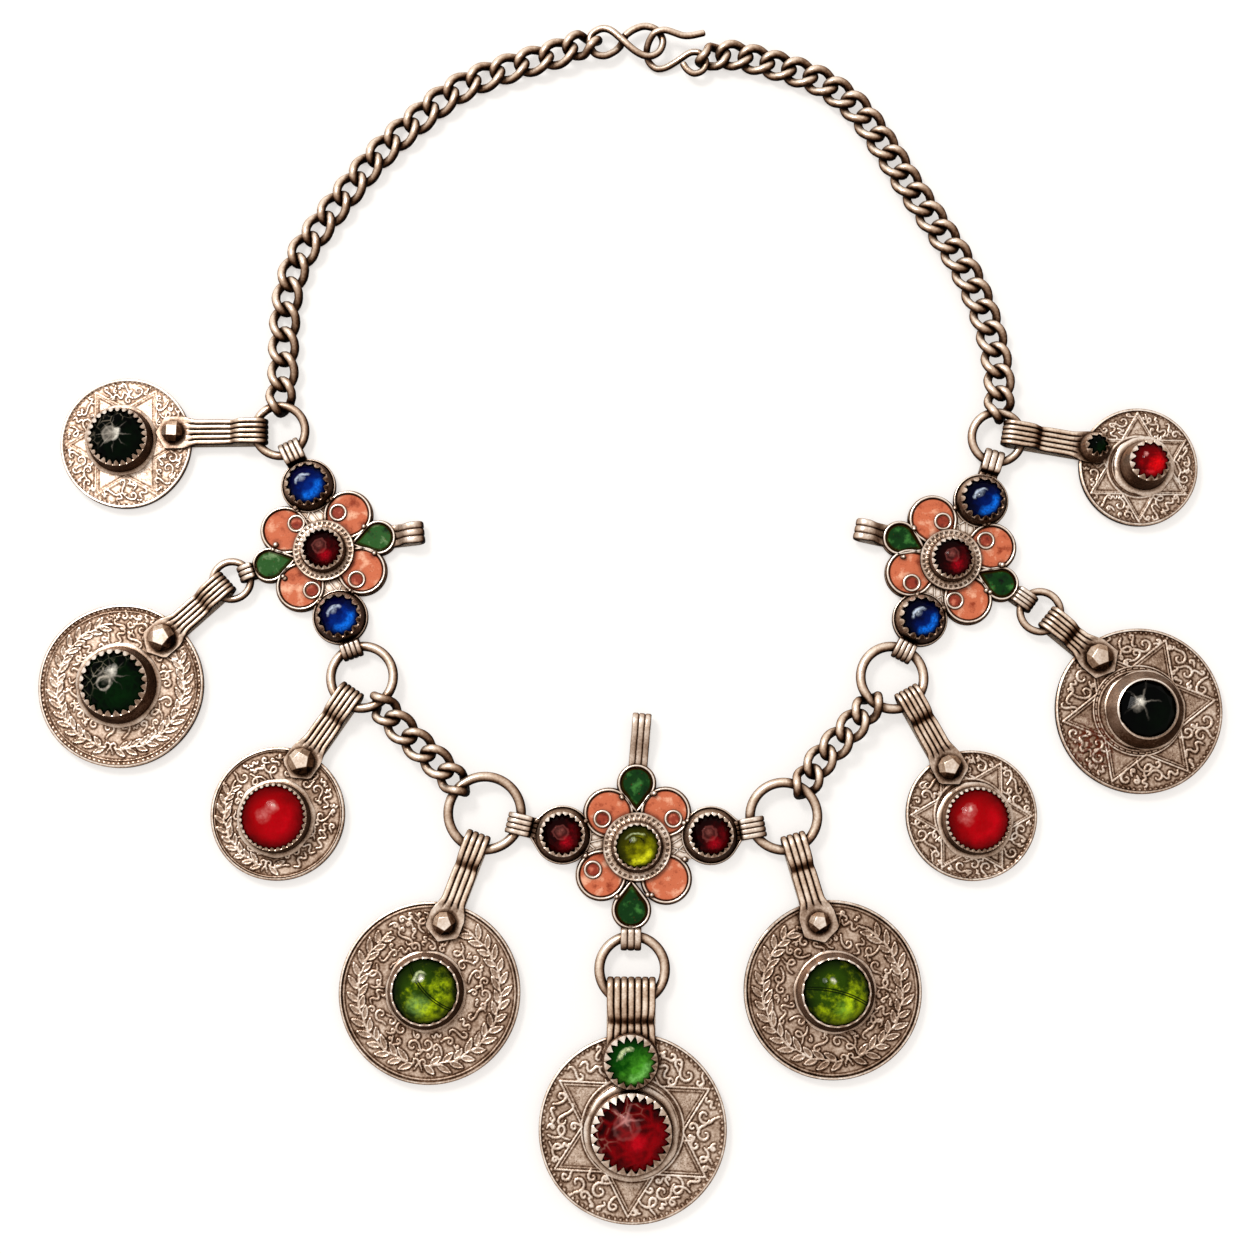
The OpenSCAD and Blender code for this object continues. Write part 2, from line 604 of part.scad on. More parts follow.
module strap_stone(e, kind, rise, paint) {
    s = straps[e[0] - 1];
    color(paint) translate([s[2], s[3], leaf_z + strip_t]) stone(kind, e[3], e[2], rise);
}

// Flowers

// A round lobe drawn out to a point that lies at a distance along +X.
// Its straight sides meet a circle a little inside the lobe, so that they cross the lobe's edge cleanly.
module drop_outline(r, point) {
    side_r = 0.99 * r;
    touch = acos(side_r / point);
    foot = side_r * [cos(touch), sin(touch)];
    circle(r);
    polygon([[0, 0], foot, [point, 0], [foot[0], -foot[1]]]);
}

// A petal is a lobe whose point is the flower's middle; inset makes it smaller all round
module petal_outline(p, inset) {
    far = norm([p[0], p[1]]);
    translate([p[0], p[1]])
    rotate(atan2(-p[1], -p[0]))
    drop_outline(p[2] - inset, far - inset * far / p[2]);
}

module drop_at(d, inset) {
    translate([d[0], d[1]])
    rotate(d[4])
    drop_outline(d[2] - inset, d[3] - inset * d[3] / d[2]);
}

function petal_ring_at(p) = [p[3], p[4]];

module plate_outline(f) {
    circle(collar_r[f] + collar_wall);
    for (p = petals[f]) petal_outline(p, 0);
    for (d = drops[f]) drop_at(d, -drop_wall);
    for (s = [settings[f][1], settings[f][2]])
        rotate(atan2(s[1], s[0])) {
            translate([norm([s[0], s[1]]), 0]) drop_outline(s[2] + side_wall, s[2] + wing[f]);
            translate([0, -arm_half]) square([norm([s[0], s[1]]), 2 * arm_half]);
        }
}

module cell_walls(f) {
    difference() {
        union() {
            for (p = petals[f]) petal_outline(p, 0);
            for (d = drops[f]) drop_at(d, -drop_wall);
        }
        for (p = petals[f]) petal_outline(p, cell_w);
        for (d = drops[f]) drop_at(d, cell_w - drop_wall);
    }
    for (p = petals[f])
        if (len(p) > 3)
            translate(petal_ring_at(p))
            difference() {
                circle(petal_ring_r);
                circle(petal_ring_r - cell_w);
            }
}

// The middle of what a bail grows from, in the necklace's frame, and its radius there
function bail_part(f, b) = b[2] < 2 ? drops[f][b[2]] : settings[f][b[2] - 1];
function bail_root(f, b) =
    let (p = bail_part(f, b), turn = flowers[f][2])
    [flowers[f][0] + p[0] * cos(turn) - p[1] * sin(turn),
        flowers[f][1] + p[0] * sin(turn) + p[1] * cos(turn)];

// Puts what it holds at a bail's loop, with X towards the flower
module at_bail(f, b) {
    run = bail_root(f, b) - [b[0], b[1]];
    translate([b[0], b[1], 0])
    rotate([0, 0, atan2(run[1], run[0])])
    translate([bail_end_r, 0, 0])
    children();
}

module bail_round(length, r) {
    translate([0, length / 2, bail_end_r]) rotate([90, 0, 0]) cylinder(h = length, r = r);
}

module bail_strip(f, b) {
    bite = b[2] < 2 ? drop_bite : setting_bite;
    reach = norm(bail_root(f, b) - [b[0], b[1]]) - bail_end_r - bail_part(f, b)[2] + bite;
    loop = [bail_eye_r, b[5], bail_step, bail_back];
    rib_reach = min(reach, b[5] + bail_ribs);
    at_bail(f, b)
    difference() {
        union() {
            strip_solid(loop, reach, plate_top, 0, b[3]);
            strip_ribs(loop, rib_reach, plate_top, b[3], b[4]);
            if (b[6] == 1) bail_round(b[3], bail_end_r);
        }
        if (b[6] == 1) bail_round(2 * b[3], bail_eye_r);
    }
}

module flower(f) {
    color(old_silver)
    union() {
        translate([flowers[f][0], flowers[f][1], 0])
        rotate([0, 0, flowers[f][2]])
        union() {
            translate([0, 0, plate_z]) linear_extrude(plate_t) plate_outline(f);
            translate([0, 0, plate_top - fuse]) linear_extrude(cell_h + fuse) cell_walls(f);
            translate([0, 0, plate_top - fuse]) cylinder(h = collar_h + fuse, r = collar_r[f]);
            for (s = settings[f]) translate([s[0], s[1], plate_top]) setting(s[2], s[7], s[3]);
        }
        for (b = bails[f]) bail_strip(f, b);
    }
}

module in_flower(f) {
    translate([flowers[f][0], flowers[f][1], plate_top + enamel_lift])
    rotate([0, 0, flowers[f][2]])
    children();
}

module petal_enamel() {
    color([0.84, 0.42, 0.3])
    for (f = [0:2])
        in_flower(f)
        for (p = petals[f]) {
            linear_extrude(cell_h - petal_sink)
            difference() {
                petal_outline(p, cell_w + enamel_gap);
                circle(collar_r[f] + enamel_gap);
                if (len(p) > 3) translate(petal_ring_at(p)) circle(petal_ring_r + enamel_gap);
                for (d = drops[f]) drop_at(d, -drop_wall - enamel_gap);
                for (s = [settings[f][1], settings[f][2]])
                    translate([s[0], s[1]]) circle(s[2] + enamel_gap);
            }
            if (len(p) > 3)
                translate(petal_ring_at(p))
                cylinder(h = cell_h - dot_sink, r = petal_ring_r - cell_w - enamel_gap);
        }
}

module drop_enamel() {
    color([0.15, 0.4, 0.2])
    for (f = [0:2])
        in_flower(f)
        for (d = drops[f])
            linear_extrude(cell_h - drop_sink)
            difference() {
                drop_at(d, cell_w - drop_wall + enamel_gap);
                circle(collar_r[f] + enamel_gap);
            }
}

module flower_stone(f, s) {
    e = settings[f][s];
    color(e[6])
    translate([flowers[f][0], flowers[f][1], plate_top])
    rotate([0, 0, flowers[f][2]])
    translate([e[0], e[1], 0])
    stone(e[4], e[7], e[3], e[5]);
}

for (c = chains)
    chain(c);
wire(eye_route, eye_wire, 3, 8);  // clasp_eye
wire(hook_route, hook_wire, 3, 8);  // clasp_hook
for (r = rings)
    ring(r);
for (f = [0:2])
    flower(f);
petal_enamel();
drop_enamel();
for (f = [0:2])
    for (s = [0:2])
        flower_stone(f, s);
for (i = [0:8]) {
    coin(i);
    strap(i);
    coin_stone(i);
}
strap_stone(strap_settings[0], 1, 1.6, [0.15, 0.5, 0.1]);  // strap_stone_5
strap_stone(strap_settings[1], 1, 0.9, [0.02, 0.2, 0.12]);  // strap_stone_9
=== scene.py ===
# %% [markdown]
# # A silver coin necklace
# The CAD frame gives every part's place and size. Here each part gets the shape and the finish
# that a silversmith's hand left on the real one.

# %% Load the frame
import math
import random

import bpy
import numpy as np
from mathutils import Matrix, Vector


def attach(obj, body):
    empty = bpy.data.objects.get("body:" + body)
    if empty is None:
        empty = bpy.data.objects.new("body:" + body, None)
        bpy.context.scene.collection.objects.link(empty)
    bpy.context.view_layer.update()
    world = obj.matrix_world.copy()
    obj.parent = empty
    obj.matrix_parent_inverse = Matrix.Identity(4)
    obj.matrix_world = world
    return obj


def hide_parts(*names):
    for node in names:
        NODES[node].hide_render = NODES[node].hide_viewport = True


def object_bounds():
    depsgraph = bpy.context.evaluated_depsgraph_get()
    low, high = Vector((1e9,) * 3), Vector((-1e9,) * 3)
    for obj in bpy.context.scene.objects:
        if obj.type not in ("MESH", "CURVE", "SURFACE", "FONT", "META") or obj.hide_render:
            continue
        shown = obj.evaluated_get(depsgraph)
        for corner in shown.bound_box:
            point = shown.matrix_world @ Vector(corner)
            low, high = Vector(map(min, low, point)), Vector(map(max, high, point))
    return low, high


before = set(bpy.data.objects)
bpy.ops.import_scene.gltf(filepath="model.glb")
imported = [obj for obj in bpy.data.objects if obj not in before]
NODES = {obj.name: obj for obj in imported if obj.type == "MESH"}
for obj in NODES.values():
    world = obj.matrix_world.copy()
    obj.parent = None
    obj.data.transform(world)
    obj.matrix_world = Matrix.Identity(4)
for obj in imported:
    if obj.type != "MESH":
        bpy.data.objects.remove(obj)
cad_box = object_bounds()
MM = 0.001
print("CAD nodes:", len(NODES))

# %% [markdown]
# ## Small helpers
# Lengths are written in millimetres, as on a jeweller's drawing, and become metres in one place. Much
# of the necklace is round, so one helper turns a profile to a body as a lathe does.

# %% Helpers for meshes
def deselect():
    bpy.ops.object.select_all(action="DESELECT")


def choose(piece):
    deselect()
    piece.select_set(True)
    bpy.context.view_layer.objects.active = piece


def stand(name, data):
    """An object of this data, put in the scene."""
    piece = bpy.data.objects.new(name, data)
    bpy.context.scene.collection.objects.link(piece)
    return piece


def in_edit(piece, *steps):
    """Runs edit-mode steps on everything in the piece."""
    choose(piece)
    bpy.ops.object.mode_set(mode="EDIT")
    bpy.ops.mesh.select_all(action="SELECT")
    for step in steps:
        step()
    bpy.ops.object.mode_set(mode="OBJECT")


def outward():
    bpy.ops.mesh.normals_make_consistent(inside=False)


def weld():
    bpy.ops.mesh.remove_doubles(threshold=0.01 * MM)


def soften(piece, degrees=35):
    choose(piece)
    bpy.ops.object.shade_smooth_by_angle(angle=math.radians(degrees))


def lattice(name, rows, closed):
    """A mesh stretched over rows of points, in millimetres. Each row is a round of points. Either the ends
    are capped, or the last row meets the first."""
    rows = np.asarray(rows, float)
    n, m = rows.shape[:2]
    faces = []
    for i in range(n if closed else n - 1):
        a, b = i * m, ((i + 1) % n) * m
        for j in range(m):
            k = (j + 1) % m
            faces.append((a + j, a + k, b + k, b + j))
    if not closed:
        faces.append(tuple(range(m))[::-1])
        faces.append(tuple(range((n - 1) * m, n * m)))
    mesh = bpy.data.meshes.new(name)
    mesh.from_pydata((rows.reshape(-1, 3) * MM).tolist(), [], faces)
    return stand(name, mesh)


def skin(name, rows, closed=False, degrees=35):
    """A lattice made one solid, its edges sharp where they bend more than this."""
    piece = lattice(name, rows, closed)
    in_edit(piece, weld, outward)
    soften(piece, degrees)
    return piece


def circle(count, turn=0.0):
    """Angles of places evenly all the way round."""
    return math.radians(turn) + 2 * math.pi * np.arange(count) / count


def lathe(name, x, y, z, profile, angles, degrees=35):
    """A body turned round x, y. Each row of the profile says how far out it lies, how high, and how much
    further round. Each of these is one number, or a list with a number for every angle."""
    rows = []
    for far, up, *shift in profile:
        a = angles + sum(shift)
        rows.append(np.column_stack([x + far * np.cos(a), y + far * np.sin(a), z + up + 0 * a]))
    return skin(name, rows, degrees=degrees)


def turned(points, degrees, x=0.0, y=0.0):
    """Points of a flat drawing turned about its middle, then moved to x, y."""
    ca, sa = math.cos(math.radians(degrees)), math.sin(math.radians(degrees))
    return np.asarray(points, float) @ np.array([[ca, sa], [-sa, ca]]) + (x, y)


def joined(name, pieces):
    """Several meshes made one piece, each with its own finish kept."""
    deselect()
    for piece in pieces:
        piece.select_set(True)
    bpy.context.view_layer.objects.active = pieces[0]
    if len(pieces) > 1:
        bpy.ops.object.join()
    pieces[0].name = name
    pieces[0].data.name = name
    return pieces[0]


def finish_with(piece, paint):
    piece.data.materials.clear()
    piece.data.materials.append(paint)
    return piece


def second_finish(piece, paint, wanted):
    """Faces that are wanted get this other finish. Each is judged by its middle and its normal."""
    piece.data.materials.append(paint)
    for face in piece.data.polygons:
        if wanted(*(c / MM for c in face.center), face.normal):
            face.material_index = 1
    return piece


def hand_over(piece, node):
    """The piece rides on the necklace and stands for this CAD node."""
    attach(piece, "root")
    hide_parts(node)
    return piece


# %% [markdown]
# ## Finishes
# Old silver is bright where fingers rub it and brown where dirt stays, and light and shade are painted into
# its colour as well. A finish is a small net of nodes.
# What a node gives out is kept as a Value, so that the recipe for a tone can be written as a sum.

# %% Helpers for finishes
class Value:
    """What a node gives out, ready to be reckoned with."""

    def __init__(self, socket):
        self.socket = socket

    def maths(self, what, other=0.0):
        return add(self.socket.id_data, "ShaderNodeMath", {0: self, 1: other}, operation=what)

    def __add__(self, other):
        return self.maths("ADD", other)

    def __sub__(self, other):
        return self.maths("SUBTRACT", other)

    def __mul__(self, other):
        return self.maths("MULTIPLY", other)

    def __truediv__(self, other):
        return self.maths("DIVIDE", other)

    def __pow__(self, other):
        return self.maths("POWER", other)

    def __abs__(self):
        return self.maths("ABSOLUTE")


def feed(node, inputs):
    """Gives a node its inputs: numbers, colours or Values."""
    for key, value in inputs.items():
        if isinstance(value, Value):
            node.id_data.links.new(value.socket, node.inputs[key])
        else:
            node.inputs[key].default_value = value


def add(tree, kind, inputs=(), out=0, **settings):
    """A new node with its settings and inputs, as the Value it gives out."""
    node = tree.nodes.new(kind)
    for key, value in settings.items():
        setattr(node, key, value)
    feed(node, dict(inputs))
    return Value(node.outputs[out])


def new_finish(name):
    paint = bpy.data.materials.new(name)
    paint.use_nodes = True
    tree = paint.node_tree
    return paint, tree, tree.nodes["Principled BSDF"]


def place(tree):
    return add(tree, "ShaderNodeTexCoord", out=3)


def place_from(tree, middle):
    """The place seen from a middle given in millimetres."""
    values = {0: place(tree), 1: Vector(middle) * MM}
    return add(tree, "ShaderNodeVectorMath", values, operation="SUBTRACT")


def noise(tree, size_mm, detail=4.0, rough=0.55):
    """Soft noise whose features are about this size."""
    values = {"Vector": place(tree), "Scale": 1 / (size_mm * MM), "Detail": detail, "Roughness": rough}
    return add(tree, "ShaderNodeTexNoise", values)


def cells(tree, size_mm, **settings):
    """Distances in a net of cells of this size."""
    values = {"Vector": place(tree), "Scale": 1 / (size_mm * MM)}
    return add(tree, "ShaderNodeTexVoronoi", values, **settings)


def open_air(tree, reach, samples=8):
    """1 on an open face, less where walls stand within reach."""
    values = {"Distance": reach * MM}
    return add(tree, "ShaderNodeAmbientOcclusion", values, out=1, samples=samples)


def dents(tree, strength, depth, height):
    return add(tree, "ShaderNodeBump", {"Strength": strength, "Distance": depth * MM, "Height": height})


def fit(value, low, high, to_low=0.0, to_high=1.0):
    """The span from low to high stretched to another span, and held at its ends."""
    values = {0: value, 1: low, 2: high, 3: to_low, 4: to_high}
    return add(value.socket.id_data, "ShaderNodeMapRange", values)


def linear(r, g, b):
    """A colour as it is read off a screen, 0 to 255, made a light value."""
    return tuple((c / 255) ** 2.2 for c in (r, g, b))


def mix(tree, share, a, b, how="MIX"):
    a, b = (c if isinstance(c, Value) else (*c, 1) for c in (a, b))
    return add(tree, "ShaderNodeMix", {0: share, 6: a, 7: b}, 2, data_type="RGBA", blend_type=how)


def tinted(colour, share, tint):
    """The colour with a share of a tint over it."""
    return mix(colour.socket.id_data, share, colour, linear(*tint))


def ramp(value, stops):
    """Runs through screen colours, each at its own value."""
    node = value.socket.id_data.nodes.new("ShaderNodeValToRGB")
    feed(node, {0: value})
    while len(node.color_ramp.elements) < len(stops):
        node.color_ramp.elements.new(1.0)
    for element, (at, colour) in zip(node.color_ramp.elements, stops):
        element.position = at
        element.color = (*linear(*colour), 1)
    return Value(node.outputs[0])


# %% [markdown]
# The tone of a place on the silver comes from three things: how shut in it is, which darkens hollows as
# patina and as painted shade, how far it looks towards the rubbing hand and the upper-left light, which
# makes rubbed tops and painted light and shade, and soft noise. The tone then picks the colour, from
# dirt and painted shade to bare metal and painted highlight.

# %% Old silver
# From the palest to the deepest
SILVER_COLOURS = [(246, 233, 220), (203, 180, 161), (148, 122, 103), (80, 56, 41), (20, 11, 7)]
SILVER_TONES = [1.0, 0.80, 0.57, 0.30, 0.03]
# Rubbed tops face up. The tilt to the upper left paints light from that side onto the silver.
RUBBED_AND_LIT = Vector((-0.27, 0.33, 0.90))


def silver(name, bright, reach, rough, sides, curve=1.0, cloud=0.09, warm=0.0, speck=0.07, relief=False,
           rust=None):
    """Old silver. bright lifts the whole tone, reach is how far the patina and painted shade of a recess
    reach, in millimetres, sides is how much of its tone a steep side keeps under the painted shade, and
    curve how fast it is lost. cloud and speck are how uneven it is, warm is how brown it has gone, and
    relief reads a coin's own tones, with their painted highlight and shade. rust is x, y and radius."""
    paint, tree, surface = new_finish(name)
    normal = add(tree, "ShaderNodeNewGeometry", out=1)
    facing = add(tree, "ShaderNodeVectorMath", {0: normal, 1: RUBBED_AND_LIT}, out=1, operation="DOT_PRODUCT")
    # Painted light and shade: darker in hollows and where parts stand close, and on steep sides or sides
    # turned from the upper-left light; paler on faces towards it.
    tone = open_air(tree, reach) ** 1.7 * fit(facing, 0.1, 1.0, sides, 1.06) ** curve
    if relief:
        tone = tone * add(tree, "ShaderNodeAttribute", out=2, attribute_name="tone")
    for size, share in ((3.2, cloud), (0.4, speck)):
        tone = tone + fit(noise(tree, size), 0.3, 0.7, -share, share)
    tone = tone + bright
    colour = ramp(tone, list(zip(SILVER_TONES, SILVER_COLOURS))[::-1])
    if warm:
        colour = mix(tree, 1.0, colour, (1, 1 - 0.06 * warm, 1 - 0.13 * warm), "MULTIPLY")
    if rust:
        x, y, r = rust
        far = add(tree, "ShaderNodeVectorMath", {0: place_from(tree, (x, y, 2))}, out=1, operation="LENGTH")
        spots = fit(far, r * MM, 0.4 * r * MM) * fit(noise(tree, 0.9), 0.47, 0.56, 0.0, 0.9)
        colour = tinted(colour, spots, (84, 34, 18))
    feed(surface, {
        "Base Color": colour, "Specular Tint": colour, "Specular IOR Level": 0.2, "Metallic": 0.75,
        "Roughness": fit(tone, 0.1, 1.0, rough + 0.25, rough),
        "Normal": dents(tree, 0.12, 0.2, noise(tree, 0.6, 5.0)),
    })
    return paint


# How each part has aged and is painted with light and shade: bright, reach, rough, sides, curve, cloud, warm
AGED = {
    "chain": (0.0, 1.2, 0.26, 0.0, 1.5, 0.09, 1.0), "wire": (-0.05, 1.3, 0.24, 0.0, 1.4, 0.09, 0.8),
    "strap": (-0.07, 0.9, 0.28, 0.02, 1.2, 0.16, 1.0), "plate": (-0.22, 1.0, 0.32, 0.02, 1.2, 0.16),
    "flower": (-0.1, 1.3, 0.3, 0.08, 1.0, 0.12), "cell": (0.02, 0.7, 0.26, 0.0, 1.3),
    "bezel": (-0.1, 1.1, 0.28, 0.36, 1.0, 0.12), "arm": (0.1, 0.6, 0.3, 0.1, 1.0, 0.14),
    "collar": (-0.15, 0.8, 0.3, 0.1, 1.0, 0.2), "dash": (-0.34, 0.6, 0.4, 0.1),
    "tooth": (-0.04, 0.5, 0.26, 0.05),
}
SILVER = {part: silver(part + "_silver", *values) for part, values in AGED.items()}
print("kinds of silver:", len(SILVER))

# %% [markdown]
# ## Enamel and glass
# The petals are filled with coral enamel that was ground flat, so it shows pits and cloudy patches.

# %% Enamel
def enamel(name, dark, base, light, size, pits=0.5, shine=0.2):
    """Ground enamel: cloudy patches, pits full of dirt, and painted shade where it meets the wire."""
    paint, tree, surface = new_finish(name)
    patches = noise(tree, size, 2.5, 0.45)
    mottled = patches + fit(noise(tree, 0.35, 3.0), 0.3, 0.7, -0.05, 0.05)
    colour = ramp(mottled, [(0.27, dark), (0.43, base), (0.54, base), (0.72, light)])
    few = fit(noise(tree, 2.3), 0.46, 0.54, 1.0, 0.0)
    clean = fit(cells(tree, pits), 0.06, 0.2, 0.25, 1.0).maths("MAXIMUM", few)
    colour = mix(tree, clean, linear(84, 34, 20), colour)
    feed(surface, {
        # Painted shade: darker where the wire's wall stands close.
        "Base Color": mix(tree, open_air(tree, 0.9) ** 1.5, linear(58, 22, 12), colour),
        "Roughness": 0.4, "Specular IOR Level": 0.08, "Coat Weight": shine, "Coat Roughness": 0.18,
        "Normal": dents(tree, 0.5, 0.3, patches),
    })
    return paint


coral = enamel("coral_enamel", (140, 58, 34), (196, 104, 72), (234, 172, 140), 2.4, shine=0.1)
dot_red = enamel("dot_enamel", (96, 28, 18), (142, 54, 36), (200, 110, 84), 1.3)
deep_green = enamel("green_enamel", (0, 16, 2), (8, 50, 12), (58, 112, 50), 2.2, 0.9, 0.03)
pale_green = enamel("pale_green_enamel", (4, 34, 8), (40, 82, 34), (124, 152, 106), 2.2, 0.9, 0.03)
print("enamels:", coral.name, dot_red.name, deep_green.name, pale_green.name)

# %% [markdown]
# The stones are glass over foil, with painted shade at the rim and a painted glow on the side away from the
# light. The bows and patches of light stand in fixed places, so they are painted where the stone shows them.

# %% Glass
def steps_from(x, y, mid_x, mid_y):
    """Steps from a middle in x and y, and how far that is."""
    dx, dy = x - mid_x, y - mid_y
    return dx, dy, (dx * dx + dy * dy) ** 0.5


def along(x, y, degrees):
    """How far a place lies in one direction."""
    return x * math.cos(math.radians(degrees)) + y * math.sin(math.radians(degrees))


def glass(name, mid_x, mid_y, r, rim, body, glow, lights=(), cloud=0.4, crack=None, table=None, lines=0.0,
          rays=None):
    """Foiled glass. The body colour runs to a painted glow on one side and to painted shade in the rim colour
    at the edge. Each of lights is a painted bow or patch, of light or dark, seen in the glass: x, y, radius
    of its line (0 for a patch), half its width, the direction and half the angle it spans, its strength and
    colour, in parts of the radius."""
    paint, tree, surface = new_finish(name)
    shift = place_from(tree, (mid_x, mid_y, 0))
    true_x, true_y = (add(tree, "ShaderNodeSeparateXYZ", {0: shift}, out) / (r * MM) for out in (0, 1))
    warp = fit(noise(tree, 0.4 * r, 3.0), 0.2, 0.8, -0.09, 0.09)
    x, y = true_x + warp, true_y + warp
    far = steps_from(x, y, 0.0, 0.0)[2]
    away_from_light = along(x, y, -45)
    clouds = fit(noise(tree, 0.32 * r, 4.0, 0.6), 0.3, 0.7, -cloud, cloud)
    # Painted light: the body colour runs to the glow on the side away from the upper-left light.
    colour = mix(tree, fit(away_from_light + clouds, -0.4, 1.1) ** 1.7, linear(*body), linear(*glow))
    # Painted shade: darker towards the rim.
    colour = tinted(colour, fit(far, 0.55, 0.98, 0.0, 0.95), rim)
    if lines:
        edge = cells(tree, lines * r, feature="DISTANCE_TO_EDGE")
        colour = tinted(colour, fit(edge, 0.0, 0.2, 0.3, 0.0), glow)
        # Painted highlight: the lines turn pale on the side towards the light.
        seen = fit(away_from_light, -0.05, -0.4) * fit(noise(tree, 0.5 * r), 0.42, 0.6)
        colour = tinted(colour, seen * fit(edge, 0.0, 0.06, 0.28, 0.0), (176, 160, 140))
    if rays:
        # Painted glints: pale rays that run out from a point in the glass.
        from_x, from_y, count, span, share, tint = rays
        dx, dy, gone = steps_from(x, y, from_x, from_y)
        turn = dy.maths("ARCTAN2", dx) * (count / 2)
        line = fit(abs(turn.maths("SINE")) * gone, 0.0, 0.12, share, 0.0) * fit(gone, span, 0.1)
        colour = tinted(colour, line * fit(noise(tree, 0.4 * r), 0.4, 0.55, 0.15, 1.0), tint)
    if table:
        # Painted glint: a pale outline and fill on the stone's table.
        from_x, from_y, size, share, tint = table
        dx, dy, _ = steps_from(x, y, from_x, from_y)
        reach = along(dx, dy, 8)
        for turn in (53, 98, 143):
            reach = abs(reach).maths("MAXIMUM", abs(along(dx, dy, turn)))
        colour = tinted(colour, fit(abs(reach - size), 0.07, 0.015, 0.0, share), tint)
        colour = tinted(colour, fit(reach, size, size - 0.05, 0.0, 0.3 * share), tint)
    if crack:
        turn, bow, off = crack
        u = along(true_x, true_y, turn)
        gap = along(true_x, true_y, turn + 90) - u * u * bow - off
        colour = tinted(colour, fit(abs(abs(gap) - 0.035), 0.012, 0.03, 0.95, 0.0), (14, 22, 4))
    broken = fit(noise(tree, 0.13 * r, 3.0), 0.38, 0.6, 0.35, 1.0)
    # Painted highlights, reflections and dark patches, each a bow or a patch.
    for from_x, from_y, line, wide, towards, span, share, tint in lights:
        dx, dy, gone = steps_from(x, y, from_x, from_y)
        spot = fit(abs(gone - line), wide, 0.2 * wide, 0.0, share)
        if span < 180:
            low = math.cos(math.radians(span))
            spot = spot * fit(along(dx, dy, towards) / (gone + 0.001), low, 0.5 * low + 0.5)
        colour = tinted(colour, spot * broken, tint)
    feed(surface, {
        "Base Color": colour, "Roughness": 0.35, "Specular IOR Level": 0.0, "Coat Weight": 0.07,
        "Coat Roughness": 0.07, "Normal": dents(tree, 0.06, 0.2, noise(tree, 1.2)),
    })
    return paint


def patch(x, y, wide, share, tint):
    """A painted patch of light or dark is a bow of no radius that goes all the way round."""
    return x, y, 0.0, wide, 0, 180, share, tint


# Glasses: slot, then the colours of the painted shade at the rim, the body and the painted glow
GLASSES = {
    "red": ("red_glass", (72, 0, 4), (146, 4, 14), (196, 10, 26)),
    "olive": ("olive_glass", (4, 9, 0), (42, 64, 11), (180, 204, 22)),
    "night_green": ("dark_green_glass", (0, 2, 0), (1, 8, 2), (9, 40, 12)),
    "night_black": ("dark_green_glass", (0, 1, 0), (2, 5, 2), (8, 20, 9)),
    "night": ("dark_green_glass", (0, 1, 0), (1, 5, 1), (5, 22, 8)),
    "garnet": ("garnet_glass", (6, 0, 2), (28, 1, 4), (112, 6, 18)),
    "deep_red": ("garnet_glass", (9, 0, 2), (46, 0, 5), (166, 5, 20)),
    "fire_red": ("red_glass", (26, 0, 2), (96, 2, 10), (236, 14, 26)),
    "blue": ("blue_glass", (0, 1, 12), (1, 8, 52), (8, 72, 200)),
    "deep_blue": ("blue_glass", (0, 1, 9), (0, 4, 32), (4, 50, 150)),
    "yellow": ("yellow_glass", (14, 14, 0), (60, 60, 2), (186, 186, 14)),
    "leaf_green": ("leaf_green_glass", (0, 16, 2), (10, 60, 6), (96, 190, 52)),
}
# Tints of the painted highlights, reflections and dark patches seen in the glass
GREY = (190, 180, 166)
PINK = (246, 170, 164)
SAGE = (214, 226, 170)
ROSE = (240, 60, 70)
OLIVE_SHADE = (22, 34, 2)
WHITE = (236, 230, 216)
SKY = (206, 220, 240)


def set_stone(stone, node, x, y, r, tone, lights=(), **seen):
    """Gives a stone of radius r its glass, and hands it over for its CAD part."""
    slot, *colours = GLASSES[tone]
    paint = glass(stone.name.replace("gem", "glass"), x, y, r, *colours, lights, **seen)
    hand_over(finish_with(stone, paint), node)


print("glasses:", ", ".join(GLASSES))

# %% [markdown]
# ## Chain
# Each link is a round wire bent to an oval and twisted, so that the chain lies flat. The CAD links are
# six-sided. Here a copy is welded, made a little thicker and subdivided, until its wire is round again.
# Each point is held above the floor and inside the CAD's box at its far end in y. Nothing may sink
# under the floor or leave the CAD's box, so the points are held there.

# %% Chain and clasp
def rounded_copy(name, node, levels, fatten):
    """A welded copy of a CAD part, its wire a little thicker and as round as the levels make it."""
    mesh = NODES[node].data.copy()
    mesh.name = name
    piece = stand(name, mesh)
    in_edit(piece, weld, outward, lambda: bpy.ops.transform.shrink_fatten(value=fatten * MM))
    if levels:
        extra = piece.modifiers.new("round", "SUBSURF")
        extra.levels = levels
        extra.render_levels = levels
        choose(piece)
        bpy.ops.object.modifier_apply(modifier="round")
    for point in piece.data.vertices:
        point.co.z = max(point.co.z, 0.02 * MM)
        point.co.y = min(point.co.y, cad_box[1][1])
    choose(piece)
    bpy.ops.object.shade_smooth()
    return piece


for side in ("left", "right", "lower_left", "lower_right"):
    links = rounded_copy("links_" + side, "chain_" + side, 1, 0.3)
    hand_over(finish_with(links, SILVER["chain"]), "chain_" + side)
    print(links.name, len(links.data.polygons), "faces")
for part in ("eye", "hook"):
    wire = rounded_copy("bent_" + part, "clasp_" + part, 2, 0.16)
    hand_over(finish_with(wire, SILVER["wire"]), "clasp_" + part)
    print(wire.name, len(wire.data.polygons), "faces")

# %% [markdown]
# The eye is one wire bent to a figure of eight. The CAD stops it short of the crossing, and here a short
# curve leads the end on under the upper strand.

